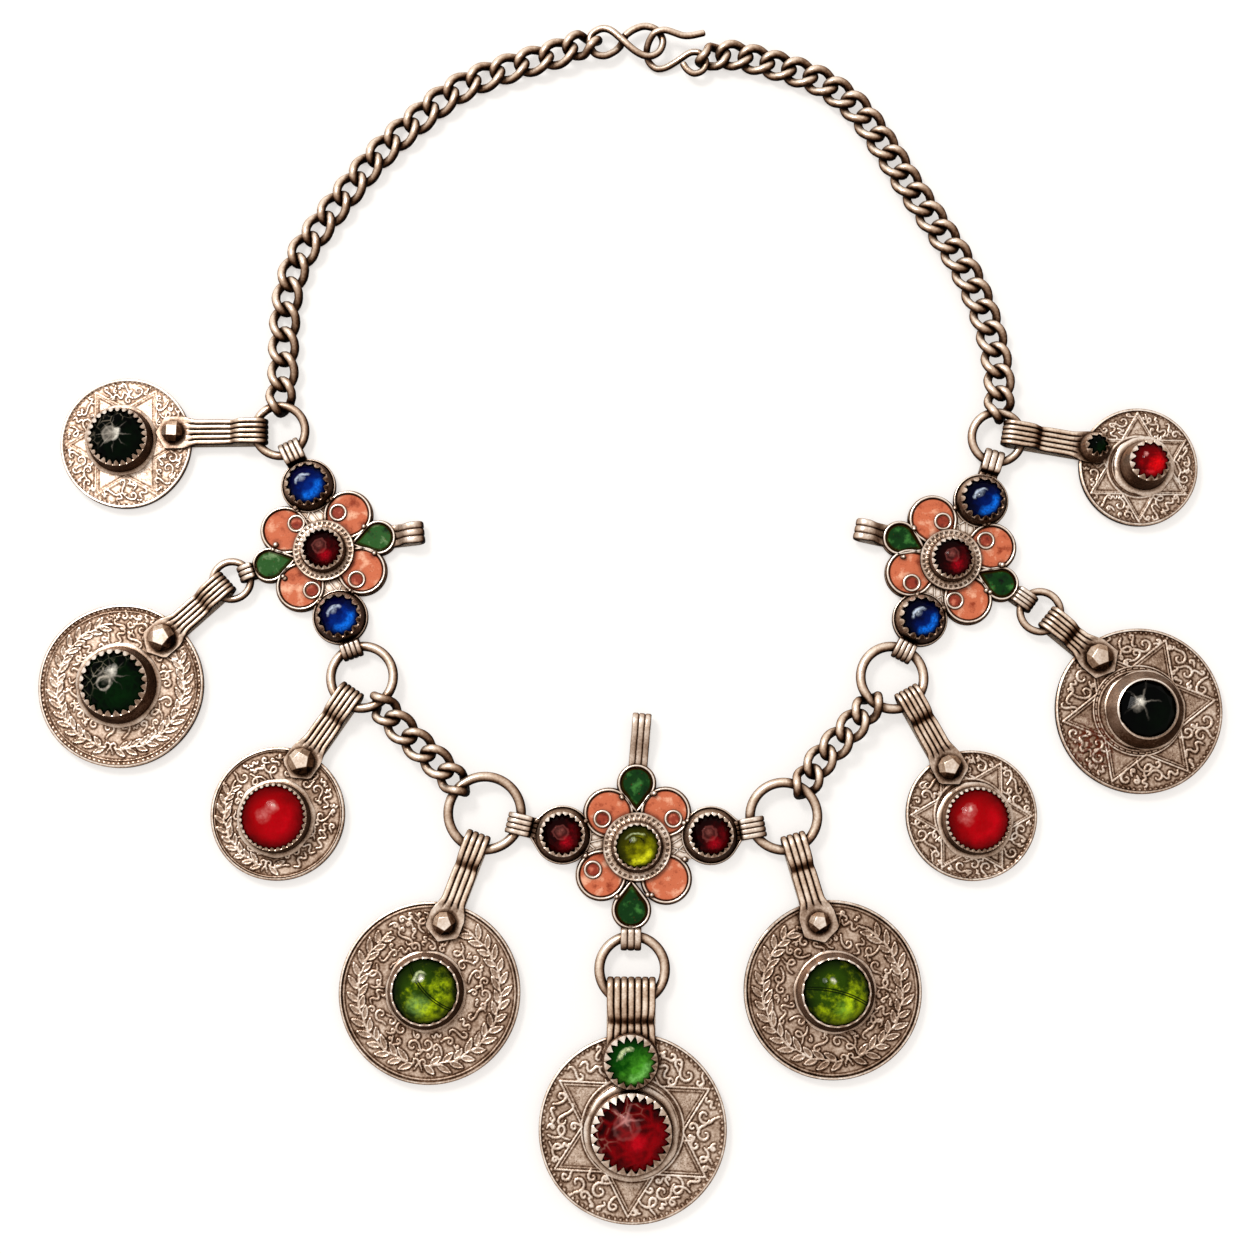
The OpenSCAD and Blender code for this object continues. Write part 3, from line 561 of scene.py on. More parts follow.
# %% End of the eye's wire
EYE_END = [(-2.6, 111.35, 1.6), (-2.1, 111.9, 1.4), (-1.6, 112.8, 1.15), (-1.25, 113.5, 1.6),
           (-0.8, 114.1, 2.25)]
WIRE_R = 0.74


def tube(name, points, r):
    """Round wire along a few points: a curve with a thickness, turned into a mesh."""
    line = bpy.data.curves.new(name, "CURVE")
    line.dimensions = "3D"
    line.bevel_depth = r * MM
    line.bevel_resolution = 5
    line.use_fill_caps = True
    path = line.splines.new("BEZIER")
    path.bezier_points.add(len(points) - 1)
    for knot, point in zip(path.bezier_points, points):
        knot.co = [c * MM for c in point]
        knot.handle_left_type = knot.handle_right_type = "AUTO"
    piece = stand(name, line)
    choose(piece)
    bpy.ops.object.convert(target="MESH")
    in_edit(piece, weld, outward)
    bpy.ops.object.shade_smooth()
    return piece


end = tube("eye_end", EYE_END, WIRE_R)
hand_over(finish_with(end, SILVER["wire"]), "clasp_eye")
print(end.name, len(end.data.polygons), "faces")

# %% [markdown]
# ## Jump rings
# A jump ring is plain round wire, closed by hand. A copy of the CAD ring gets the wire a little thicker,
# as the chains did.

# %% Jump rings
RING_NODES = sorted(n for n in NODES if n.startswith("ring_"))
for node in RING_NODES:
    hoop = rounded_copy("bent_" + node, node, 0, 0.17)
    hand_over(finish_with(hoop, SILVER["wire"]), node)
print("jump rings:", len(RING_NODES))

# %% [markdown]
# ## Ribbed strips
# Every coin hangs from a folded silver strip with half-round ribs. The strip is one cross-section
# pushed along the path of its fold: back, loop, step and front leaf.

# %% Ribbed strips
STRIP_T = 0.45
RIB_H = 0.26


def rib_section(width, ribs, amount):
    """Points across a strip: ribbed on the outside, flat inside. Each is (across, outward)."""
    per_rib = 8
    outer = []
    for k in range(ribs * per_rib + 1):
        share = k / (ribs * per_rib)
        phase = (share * ribs) % 1.0
        bulge = math.sqrt(max(0.0, 1 - abs(2 * phase - 1) ** 2.8)) if k < ribs * per_rib else 0.0
        lift = STRIP_T / 2 + ((RIB_H + 0.1) * bulge - 0.12) * amount
        outer.append(((share - 0.5) * width, lift))
    inner = [((0.5 - k / 6) * width, -STRIP_T / 2) for k in range(7)]
    return outer + inner


def strip_path(eye_r, loop_len, step, reach, leaf, back):
    """The fold seen from the side: (along, up) and the outward normal at each place."""
    end_r = eye_r + STRIP_T
    mid_r = eye_r + STRIP_T / 2
    top = 2 * eye_r + STRIP_T * 1.5
    path = [(s, STRIP_T / 2, 0, -1) for s in np.linspace(back, 0.3, 6)]
    for a in np.linspace(-90, -270, 15):
        ca, sa = math.cos(math.radians(a)), math.sin(math.radians(a))
        path.append((mid_r * ca, end_r + mid_r * sa, ca, sa))
    path += [(s, top, 0, 1) for s in np.linspace(0.3, loop_len, 4)]
    leaf_mid = leaf + STRIP_T / 2
    for u in np.linspace(0.2, 1.0, 6):
        ease = u * u * (3 - 2 * u)
        lean = 4 * u * (1 - u) * 0.6
        path.append((loop_len + step * u, top + (leaf_mid - top) * ease, lean, math.sqrt(1 - lean * lean)))
    path += [(s, leaf_mid, 0, 1) for s in np.linspace(loop_len + step + 0.4, reach, 26)]
    return path


def strip(name, start, towards, eye_r, loop_len, step, reach, leaf, back, width_at, ribs, amount_at):
    """A ribbed strip whose loop's end is at start; the rest runs towards a point."""
    run = np.array(towards, float) - np.array(start, float)
    direction = math.degrees(math.atan2(run[1], run[0]))
    origin = np.array(start, float) + run / np.linalg.norm(run) * (eye_r + STRIP_T)
    rows = []
    for s, z, ns, nz in strip_path(eye_r, loop_len, step, reach, leaf, back):
        on_back = nz < -0.9
        section = rib_section(width_at(-1.0 if on_back else s), ribs, 0.0 if on_back else amount_at(s))
        y, h = np.array(section).T
        at = turned(np.column_stack([s + ns * h, y]), direction, *origin)
        rows.append(np.column_stack([at, np.maximum(0.02, z + nz * h)]))
    return skin(name, rows, degrees=50)


# Straps: loop end x, y, rivet x, y, width, ribs, loop length, plate width, reach past the rivet and
# the stud's radius, 0 where a small setting takes its place
STRAPS = [
    (-70.4, 34.2, -88.5, 34.0, 5.0, 5, 3.2, 6.2, 3.4, 2.2),
    (-77.4, 5.0, -89.7, -6.2, 4.7, 5, 3.0, 6.6, 3.9, 2.65),
    (-52.9, -15.9, -62.5, -29.9, 4.9, 5, 3.4, 6.4, 3.6, 2.6),
    (-28.6, -43.6, -35.0, -60.5, 4.7, 4, 3.2, 6.6, 3.6, 2.25),
    (0.3, -70.7, 0.2, -86.2, 9.2, 7, 4.8, 9.2, 3.4, 0),
    (30.9, -43.8, 35.8, -60.4, 4.8, 4, 3.2, 6.8, 3.8, 2.1),
    (52.8, -16.1, 61.0, -31.0, 4.9, 5, 3.2, 6.4, 3.6, 2.4),
    (80.1, -1.8, 89.9, -10.0, 4.8, 5, 2.8, 6.8, 3.9, 2.65),
    (72.5, 34.1, 90.1, 31.0, 4.9, 5, 3.6, 6.0, 3.0, 0),
]
STRAP_EYE_R = 1.5
COIN_TOP = 1.8
LEAF_Z = 2.1
LEAF_TOP = LEAF_Z + STRIP_T
STUD_H = 2.45


def rivet_head(name, x, y, z, r, top_sides, turn):
    """A hammered stud: a many-sided barrel whose upper facets run in to a small flat top."""
    k = np.arange(2 * top_sides)
    angles = circle(len(k), turn)
    paired = 2 * math.pi * (2 * (k // 2) + 0.5 - k) / len(k)
    profile = [(0.84 * r, -0.1), (r, 0.9), (0.99 * r, 1.25), (0.63 * r, STUD_H, paired)]
    stud = lathe(name, x, y, z, profile, angles, 10)
    in_edit(stud, lambda: bpy.ops.mesh.bevel(offset=0.08 * MM, segments=2, affect="EDGES"))

    def on_top(u, v, w, normal):
        return normal.z > 0.95 and w > z + STUD_H - 0.15

    return second_finish(finish_with(stud, SILVER["strap"]), SILVER["flower"], on_top)


def make_strap(i):
    x0, y0, x1, y1, width, ribs, loop_len, plate, past, head = STRAPS[i]
    rivet = math.hypot(x1 - x0, y1 - y0) - STRAP_EYE_R - STRIP_T
    reach = rivet + past

    def width_at(s):
        """Crimped behind the loop, wide round the rivet, pointed at the end."""
        if s < rivet - 4.5:
            return width * (1 - 0.06 * math.exp(-((s - loop_len - 1.2) / 1.2) ** 2))
        places = [rivet - 4.5, rivet - 1.5, reach - 0.28 * plate, reach]
        return max(0.1, np.interp(s, places, [width, plate, plate, 0.0]))

    def amount_at(s):
        """How much the ribs stand out; they fade before the rivet."""
        return np.interp(s, [rivet - 3.8, rivet - 2.6], [1.0, 0.0])

    body = strip(f"strap_body_{i + 1}", (x0, y0), (x1, y1), STRAP_EYE_R, loop_len, 2.0, reach, LEAF_Z,
                 reach, width_at, ribs, amount_at)

    def on_plate(u, v, w, normal):
        return math.hypot(u - x1, v - y1) < 4.2 and w > LEAF_Z

    parts = [second_finish(finish_with(body, SILVER["strap"]), SILVER["plate"], on_plate)]
    if head:
        top_sides = 4 if i == 0 else 5
        parts.append(rivet_head(f"stud_{i + 1}", x1, y1, LEAF_TOP, head, top_sides, 20 + 31 * i))
    return joined(f"ribbed_strap_{i + 1}", parts)


for i in range(len(STRAPS)):
    hand_over(make_strap(i), f"strap_{i + 1}")
print("straps:", len(STRAPS))

# %% [markdown]
# ## Settings and stones
# A setting is a strip of silver bent round the stone. Its upper edge is cut to teeth, and they are
# pressed over the stone. Between the teeth the stone shows.

# %% Settings
WALL = 0.45
# A stone's girdle lies this far under the edge of its setting, and its side this far inside the wall's face
GRIP = 0.75
STONE_INSET = 0.53


def tooth(kind, u):
    """Height of the cut edge, 0 to 1, across one tooth."""
    if kind == "point":
        return max(0.0, 1 - abs(2 * u - 1) / 0.9)
    if kind == "round":
        return math.sqrt(max(0.0, 1 - (abs(2 * u - 1) / 0.66) ** 2))
    if kind == "wave":
        return 0.5 - 0.5 * math.cos(2 * math.pi * u)
    return 1.0


def dome_height(r, rise, far):
    """Height of a low dome above its girdle."""
    return rise * np.maximum(0.0, 1 - (far / r) ** 2) ** 0.8


def bezel(name, x, y, z, r, top, h, teeth, kind, length, rise, foot=0.25, seed=0):
    """A setting that narrows from radius r at its foot to radius top at its edge, with h its height.
    Its teeth lean in over a dome of that rise. A plain one has a nick instead."""
    rng = random.Random(seed)
    per_tooth = 10 if teeth < 30 else 8
    steps = np.arange(96 if kind == "plain" else teeth * per_tooth)
    inner = top - WALL
    sizes = [1 + 0.14 * rng.uniform(-1, 1) for _ in range(teeth)]
    w = np.array([tooth(kind, k % per_tooth / per_tooth) for k in steps])
    if kind == "plain":
        w[abs(steps - 54) < 2] = -0.5
    else:
        w *= np.repeat(sizes, per_tooth)
    shoulder = h - GRIP
    tip_r = inner + 0.12 - length * w
    tip_z = shoulder + 0.16 + dome_height(inner, rise + GRIP, np.maximum(0.0, tip_r - 0.1))
    outside = [(r + foot, 0.0), (r + 0.3 * foot, 0.3), (r, 0.6), (top, shoulder - 0.1),
               (top - 0.08, shoulder + 0.22)]
    tips = [(tip_r + 0.14 * w, tip_z), (tip_r - 0.02, tip_z - 0.16)]
    profile = outside + tips + [(inner, shoulder - 0.1), (inner, h - 1.6)]
    wall = finish_with(lathe(name, x, y, z, profile, circle(len(steps)), 32), SILVER["bezel"])
    tip_reach = inner + 0.24 - (0.3 * length if teeth > 1 else 0.0)

    def on_tooth(u, v, w, normal):
        return w > z + shoulder + 0.12 and normal.z > 0.2 and math.hypot(u - x, v - y) < tip_reach

    return second_finish(wall, SILVER["tooth"], on_tooth)


def dome(name, x, y, z, r, h, rise, lump, seed):
    """A cabochon: a straight girdle under a low dome, a little uneven as hand-ground glass is."""
    rng = random.Random(seed)
    bumps = [(rng.uniform(-1, 1), rng.uniform(0, 6.28), rng.randint(1, 3)) for _ in range(4)]
    angles = circle(64)
    profile = [(r, h - 1.5)]
    for far in (1.0, 0.985, 0.96, 0.92, 0.86, 0.78, 0.68, 0.56, 0.43, 0.3, 0.17, 0.05):
        uneven = sum(s * np.cos(n * angles + p) for s, p, n in bumps) * lump * far * (1 - far)
        profile.append((far * r, h - GRIP + dome_height(r, rise + GRIP, far * r) + uneven))
    return lathe(name, x, y, z, profile, angles, 60)


def cut(name, x, y, z, r, h, rise, flats, turn, table=0.42):
    """A cut stone: a girdle of flats, two rows of facets and a table."""
    half = math.pi / flats
    profile = [(r, h - 1.5), (r, h - 0.7), (0.98 * r, h - 0.55), (0.78 * r, h + 0.45 * rise - 0.1, half),
               (table * r, h + rise)]
    stone = lathe(name, x, y, z, profile, circle(flats, turn), 1)
    in_edit(stone, lambda: bpy.ops.mesh.bevel(offset=0.06 * MM, segments=1, affect="EDGES"))
    return stone


# %% [markdown]
# ## The nine coins
# Each coin is struck silver, so its pattern stands up a little from the field: a six-pointed star or a
# laurel wreath, with scrollwork between. The relief is written as small round bumps that overlap to
# make lines, leaves and curls. The highest bump wins at each place.

# %% Relief strokes
def stroke(points, width, height, thin=False):
    """Bumps along a line of points; thin ends taper like a drawn stroke. Each is (x, y, width, height)."""
    points = np.asarray(points, float)
    steps = np.linalg.norm(np.diff(points, axis=0), axis=1)
    run = np.concatenate([[0], np.cumsum(steps)])
    count = max(2, int(run[-1] / (0.55 * width)) + 1)
    at = np.linspace(0, run[-1], count)
    x = np.interp(at, run, points[:, 0])
    y = np.interp(at, run, points[:, 1])
    share = at / max(run[-1], 1e-6)
    size = width * (0.62 + 0.38 * np.sin(math.pi * share) ** 0.6) if thin else np.full(count, width)
    return [(a, b, w, height) for a, b, w in zip(x, y, size)]


def polar(r, degrees):
    return r * math.cos(math.radians(degrees)), r * math.sin(math.radians(degrees))


def arc(r, start, end, width, height):
    n = max(3, int(abs(end - start) / 3))
    return stroke([polar(r, a) for a in np.linspace(start, end, n)], width, height)


def beads(r, pitch, width, height):
    count = int(2 * math.pi * r / pitch)
    return [(*polar(r, 360 * k / count), width, height) for k in range(count)]


def spiral(x, y, size, turn, hand, turns=1.25, tail=0.9):
    """A scroll: it winds out from its eye and leaves in a tail."""
    points = []
    for u in np.linspace(0, 1, 22):
        a = math.radians(turn) + hand * u * turns * 2 * math.pi
        far = size * (0.2 + 0.8 * u)
        points.append((x + far * math.cos(a), y + far * math.sin(a)))
    last = np.array(points[-1])
    way = last - np.array(points[-2])
    way = way / np.linalg.norm(way)
    out = last - np.array([x, y])
    for u in (0.4, 0.8, 1.2):
        points.append(tuple(last + way * size * tail * u + out * 0.22 * u * u))
    return points


# Bent strokes, drawn in a circle of radius 1
BENDS = [
    [(-0.9, -0.45), (-0.72, -0.75), (-0.35, -0.72), (-0.1, -0.35), (0.05, 0.15), (0.2, 0.6), (0.5, 0.82),
     (0.8, 0.62), (0.78, 0.25), (0.52, 0.12)],
    [(-0.95, 0.1), (-0.5, -0.25), (0.1, -0.25), (0.55, 0.15), (0.5, 0.65), (0.1, 0.72), (-0.05, 0.3),
     (0.25, -0.3), (0.85, -0.55)],
    [(-0.98, 0.25), (-0.8, -0.25), (-0.45, -0.3), (-0.25, 0.3), (0.1, 0.4), (0.32, -0.2), (0.65, -0.35),
     (0.95, 0.15)],
    [(-0.3, 0.95), (-0.45, 0.3), (-0.35, -0.35), (0.0, -0.75), (0.5, -0.6), (0.62, -0.1), (0.25, 0.1),
     (0.0, -0.2)],
]


def bent(x, y, size, turn, hand, kind):
    """One of the bent strokes, turned and smoothed. hand is -1 for its mirror image."""
    corners = turned(size * np.array(BENDS[kind]) * (1, hand), turn, x, y)
    at = np.arange(len(corners))
    fine = np.linspace(0, len(corners) - 1, 5 * len(corners))
    line = np.column_stack([np.interp(fine, at, corners[:, 0]), np.interp(fine, at, corners[:, 1])])
    line[2:-2] = (line[:-4] + line[1:-3] + line[2:-2] + line[3:-1] + line[4:]) / 5
    return line


def leaf(x, y, length, width, turn, height):
    """A laurel leaf: two bowed edges that meet at the point, and a low filling."""
    def edge(u, side):
        bow = side * width * np.sin(math.pi * np.minimum(1.0, u ** 0.85)) ** 0.8
        return turned(np.column_stack([length * u, bow]), turn, x, y)

    u = np.linspace(0, 1, 9)
    out = stroke(edge(u, -1), 0.15, height) + stroke(edge(u, 1), 0.15, height)
    u = np.linspace(0.2, 0.85, 6)
    for (a, b), share in zip(edge(u, 0), u):
        out.append((a, b, width * math.sin(math.pi * share), 0.22 * height))
    return out


def scrolls(rng, free, r0, r1, start, end, sizes, weight, placed, height=0.2):
    """Scrolls and bent strokes that fill a field of the coin, largest first, none on another.
    free says how far a place is from everything that is already there."""
    out = []
    for size, tries in sizes:
        for _ in range(tries):
            x, y = polar(math.sqrt(rng.uniform(r0 * r0, r1 * r1)), rng.uniform(start, end))
            if free(x, y) < 0.8 * size:
                continue
            if any(math.hypot(x - a, y - b) < 0.76 * (size + s) for a, b, s in placed):
                continue
            placed.append((x, y, size))
            turn, hand = rng.uniform(0, 360), rng.choice((-1, 1))
            if size < 0.75 or rng.random() < 0.6:
                line = bent(x, y, size * 1.05, turn, hand, rng.randrange(4))
                out += stroke(line, weight * (1 if size > 0.75 else 0.85), height, True)
            else:
                line = spiral(x, y, size * 0.78, turn, hand, rng.uniform(0.8, 1.15), 0.6)
                out += stroke(line, weight, height, True)
    return out


# %% [markdown]
# Two patterns serve all nine coins. The star's outline is doubled, and the laurel's leaves lean out on
# both sides of a wavy stem.

# %% Two patterns
STAR_REACH = 0.925


def star_clear(x, y, tip, turn):
    """How far a place lies outside a six-pointed star; below zero inside it."""
    r, a = np.hypot(x, y), np.degrees(np.arctan2(y, x)) - turn
    return r * np.cos(np.radians(np.abs(a % 60 - 30) + 30)) - tip / 2


def star_relief(R, rng, turn, inner, weight, size, bead, dashes=False, line=0.22):
    """A six-pointed star of doubled lines, scrolls between its points and a beaded border. inner is the
    radius that the setting covers, and line is how high the star's line stands."""
    tip = STAR_REACH * R
    out = beads(0.955 * R, bead, 0.25, 0.16)
    for scale, height in ((1.0, line), (0.93, 0.55 * line)):
        corners = []
        for k in range(6):
            corners.append(polar(tip * scale, turn + 60 * k))
            corners.append(polar(tip * scale / math.sqrt(3), turn + 30 + 60 * k))
        corners.append(corners[0])
        for a, b in zip(corners, corners[1:]):
            out += stroke([a, b], 0.2 if scale == 1.0 else 0.14, height)
    if inner:
        out = [b for b in out if math.hypot(b[0], b[1]) > inner - 0.1]
        out += arc(inner, 0, 360, 0.21, 0.2) + arc(inner - 0.95, 0, 360, 0.18, 0.14)
    if dashes:
        for k in range(0, 360, 9):
            out += arc(inner - 0.48, k, k + 5, 0.17, 0.13)

    def free(x, y):
        r = math.hypot(x, y)
        return min(star_clear(x, y, tip, turn), tip - r, r - inner)

    sizes = [(1.4 * size, 250), (1.05 * size, 350), (0.78 * size, 450), (0.55 * size, 400)]
    for k in range(6):
        start = turn + 60 * k
        out += scrolls(rng, free, 0.5 * R, 0.92 * R, start, start + 60, sizes, weight, [])
    return out


def wreath_relief(R, rng, meet, share, leaf_l, leaf_w, reach_left, reach_right, border, inner, strength):
    """Two laurel branches that meet at one place and run up both sides at a share of the coin's radius,
    and curls inside them."""
    r = share * R
    if border:
        out = beads(0.955 * R, 0.95, 0.24, 0.16)
        out += arc(0.915 * R, 0, 360, 0.15, 0.1)
    else:
        out = arc(0.945 * R, 0, 360, 0.17, 0.12)
    pitch = math.degrees(leaf_l * 0.84 / r)
    for side, reach in ((-1, reach_left), (1, reach_right)):
        stem = np.arange(0, reach - 3, 3.0)
        wave = [polar(r + 0.18 * math.sin(0.3 * a), meet + side * (4 + a)) for a in stem]
        out += stroke(wave, 0.2, 0.18)
        for k in range(int((reach - 5) / pitch)):
            a = meet + side * (5 + pitch * k)
            for out_side in (1, -1):
                lean = a + side * 90 - side * out_side * rng.uniform(31, 43)
                start = 0.45 * pitch if out_side < 0 else 0
                bx, by = polar(r + 0.15 * out_side, a + side * start)
                out += leaf(bx, by, leaf_l * rng.uniform(0.8, 1.1), leaf_w, lean, 0.22)
    for side in (-1, 1):
        x, y = polar(r - 0.4, meet + side * 3.5)
        out += stroke(spiral(x, y, 0.8, meet, side, 0.9), 0.2, 0.2, True)
    open_from, open_to = meet + reach_right + 3, meet + 360 - reach_left - 3
    tips = np.array([b[:2] for b in out])

    def free(x, y):
        return min(np.hypot(tips[:, 0] - x, tips[:, 1] - y).min() - 0.25, 0.9 * R - math.hypot(x, y))

    band = [(1.6, 90), (1.2, 160), (0.85, 220), (0.6, 160)]
    placed = []
    out += scrolls(rng, free, inner, r, 0, 360, band, 0.24, placed, 0.8 * strength)
    band_open = [(1.8, 60)] + band
    out += scrolls(rng, free, r - 2.0, 0.9 * R, open_from, open_to, band_open, 0.25, placed, strength)
    if border:
        out += scrolls(rng, free, r + 1.0, 0.9 * R, 0, 360, band[2:], 0.18, placed, 0.7 * strength)
    return out


# %% [markdown]
# A coin blank is turned first: flat back, a worn edge and a raised rim. Then each point of its face is
# lifted by the relief. The same numbers tell the finish where the high places and the outlines are, and
# the finish paints the high places pale and the outlines dark, as wear and dirt and as painted light and
# shade.

# %% Coin blanks
COIN_Z = 0.5
RIM_W = 0.6
RIM_H = 0.22
# Between the rings of points on a face, and between the points of a ring at the edge
RING_PITCH = 0.155
POINT_PITCH = 0.21
# The tones of an open field, a worn rim and the turned-down edge
FIELD_TONE = 0.79
RIM_TONE = 1.0
EDGE_TONE = 0.6
# How far from a raised line the dirt of years and the painted shade beside it reach
DIRT_AND_SHADE_REACH = 0.42


def face_height(radii, around, bumps):
    """Relief height, and the tone for the finish, at every point of the face's rings. The tone paints high
    relief pale and the field beside a raised line dark, as wear and dirt and as painted highlight and shade.
    Each bump only reaches the few rings and steps near it."""
    gone = np.full((len(radii), around), 9.0)
    height = np.zeros((len(radii), around))
    pitch = radii[-1] - radii[-2]
    step = 2 * math.pi / around
    for x, y, width, lift in bumps:
        far, at = math.hypot(x, y), math.atan2(y, x)
        reach = width + DIRT_AND_SHADE_REACH
        first = max(0, int((far - reach - radii[1]) / pitch) + 1)
        last = min(len(radii), int((far + reach - radii[1]) / pitch) + 2)
        if last <= first:
            continue
        span = int(reach / (max(far, 1.0) * step)) + 1
        centre = int(round(at / step))
        steps = np.arange(centre - span, centre + span + 1)
        r = radii[first:last, None]
        gap = np.sqrt(np.maximum(r * r + far * far - 2 * r * far * np.cos(steps[None, :] * step - at), 0))
        block = np.ix_(np.arange(first, last), steps % around)
        gone[block] = np.minimum(gone[block], gap - width)
        height[block] = np.maximum(height[block], lift * np.sqrt(np.clip(1 - (gap / width) ** 2, 0, 1)))
    # Painted highlight and shade: high relief is paler, and the field beside a raised line is darker.
    dirt_and_shade = np.clip(1 - gone / DIRT_AND_SHADE_REACH, 0, 1) ** 0.7
    return 0.6 * height, np.where(gone < 0, 0.6 + 2.0 * height, FIELD_TONE - 0.56 * dirt_and_shade)


def coin_body(name, x, y, R, hole, bumps, star=None, seed=0):
    """A struck coin of radius R. Inside hole the setting's foot covers it. star is the star's reach and
    turn, and how much paler its field is."""
    rng = np.random.default_rng(seed)
    wave = [rng.uniform(-0.05, 0.05), rng.uniform(-0.06, 0.06), rng.uniform(-0.04, 0.04)]
    around = int(2 * math.pi * R / POINT_PITCH)
    angles = circle(around)
    swing = wave[0] * np.cos(2 * angles) + wave[1] * np.cos(3 * angles + 1) + wave[2] * np.cos(5 * angles)
    worn = 1 + (swing - swing.max()) / R
    radii = np.concatenate([[0.2], np.arange(hole - 0.6, R - 0.12, RING_PITCH)])
    far = radii[:, None] * np.ones(around)
    u, v = far * np.cos(angles), far * np.sin(angles)
    height, tone = face_height(radii, around, bumps)
    if star:
        tip, turn, shade = star
        inside = star_clear(u, v, tip, turn) < -0.4
        grains = rng.uniform(0, 1, tone.shape)
        field = tone + shade + 0.16 * (grains - 0.5) - np.where(grains < 0.04, 0.3, 0)
        tone = np.where(inside & (tone > 0.7) & (tone <= 0.8), field, tone)
    rim = np.clip((far - (R - RIM_W)) / 0.16, 0, 1)
    height = np.maximum(height, RIM_H * rim)
    tone = np.select([rim > 0.6, rim > 0.01], [RIM_TONE, 0.4], tone)
    dish = 0.05 * np.sin(u * 0.31 + seed) * np.cos(v * 0.27 - seed)
    top = COIN_TOP + height + dish
    rows = [np.stack([u * worn, v * worn, top], axis=-1)]
    edge = ((0.0, COIN_TOP + 0.1), (0.0, COIN_Z + 0.2), (0.15, COIN_Z), (R - 0.3, COIN_Z))
    for cut_back, z in edge:
        r = (R - cut_back) * worn
        rows.append([np.column_stack([r * np.cos(angles), r * np.sin(angles), np.full(around, z)])])
    piece = lattice(name, np.concatenate(rows) + (x, y, 0), False)
    tones = np.concatenate([tone.ravel(), np.full(around * len(edge), EDGE_TONE)])
    marks = piece.data.attributes.new("tone", "FLOAT", "POINT")
    marks.data.foreach_set("value", tones.astype(np.float32))
    in_edit(piece, outward)
    soften(piece, 40)
    return piece


def foot_ring(name, x, y, z, r, turn=0.0):
    """The soldered ring that a setting stands on, with solder that ran a little unevenly."""
    angles = circle(96)
    wob = 0.08 * np.sin(5 * angles + turn) + 0.05 * np.sin(11 * angles)
    profile = ((r + wob, -0.15), (r + wob, 0.06), (r - 0.25, 0.2), (r - 0.8, 0.26), (0.5, 0.26))
    return finish_with(lathe(name, x, y, z, profile, angles), SILVER["bezel"])


# %% [markdown]
# The nine coins differ in size, pattern, setting and stone. All that is written down as tables, one row
# for each coin, from the left side's top round to the right side's top.

# %% Tables of the coins
# Coins: x, y, diameter, the setting's x and y from the middle, its radius at the foot, its height, the
# radius of the ring it stands on and the radius of its edge
COINS = [
    (-97.8, 32.0, 25.6, -1.0, 0.6, 6.25, 4.2, 7.0, 5.8),
    (-97.6, -15.3, 31.7, -0.5, 0.1, 7.35, 5.2, 8.2, 6.5),
    (-67.1, -39.8, 25.6, -0.3, -0.8, 6.6, 4.6, 7.5, 6.45),
    (-37.8, -73.5, 34.3, -0.7, 0.3, 7.1, 3.4, 7.6, 6.5),
    (0.5, -98.75, 35.4, -0.2, -0.7, 7.75, 4.6, 8.9, 7.6),
    (38.3, -73.0, 33.8, 0.5, -0.4, 7.3, 3.4, 7.8, 6.6),
    (65.1, -40.1, 25.0, 0.7, -1.0, 6.4, 4.6, 7.3, 6.25),
    (97.5, -20.1, 32.0, 1.1, 0.1, 7.3, 3.6, 7.7, 5.95),
    (98.6, 27.3, 23.1, 1.1, 0.2, 4.7, 6.2, 5.9, 4.0),
]
# Settings: teeth, their cut, how far they reach in; stone: cut or domed, rise above the setting, glass
GEMS = [
    (26, "round", 0.7, "cut", 1.0, "night"), (24, "round", 0.75, "cut", 1.4, "night_green"),
    (34, "round", 0.4, "dome", 1.6, "red"), (22, "wave", 0.22, "dome", 2.0, "olive"),
    (26, "point", 1.25, "cut", 1.6, "deep_red"), (20, "wave", 0.22, "dome", 2.0, "olive"),
    (34, "round", 0.4, "dome", 1.6, "red"), (1, "plain", 0.2, "cut", 1.2, "night_black"),
    (14, "wave", 0.75, "dome", 1.17, "fire_red"),
]
# Star: turn, covered radius, the scrolls' weight and size, the beads' pitch, dashes, its line's height
# Wreath: where it meets, radius, leaf length and width, reach left and right, beads, inner radius,
# strength
PATTERNS = [
    (star_relief, 1.5, 0, 0.2, 1.0, 0.95, False, 0.06),
    (wreath_relief, 262, 0.77, 2.4, 0.4, 165, 130, True, 8.4, 0.17),
    (wreath_relief, 258, 0.79, 2.2, 0.36, 115, 25, False, 7.68, 0.24),
    (wreath_relief, 262, 0.785, 2.8, 0.47, 140, 160, False, 8.2, 0.2),
    (star_relief, 27, 9.6, 0.3, 1.5, 1.1),
    (wreath_relief, 282, 0.785, 2.8, 0.47, 160, 145, False, 8.4, 0.2),
    (star_relief, -0.5, 7.0, 0.24, 1.1, 0.95),
    (star_relief, 8, 8.7, 0.28, 1.4, 1.05, True),
    (star_relief, 29, 6.0, 0.22, 1.05, 0.95),
]
# How much paler the field inside a star is, and how bright each coin is kept
STAR_SHADE = {0: 0.04, 4: -0.02, 6: 0.0, 7: -0.04, 8: 0.0}
COIN_BRIGHT = [0.1, 0.02, -0.04, -0.06, -0.02, -0.12, -0.04, -0.08, 0.0]
# A rusty place: x, y and radius
COIN_RUST = {7: (88.5, -26.5, 6.5)}
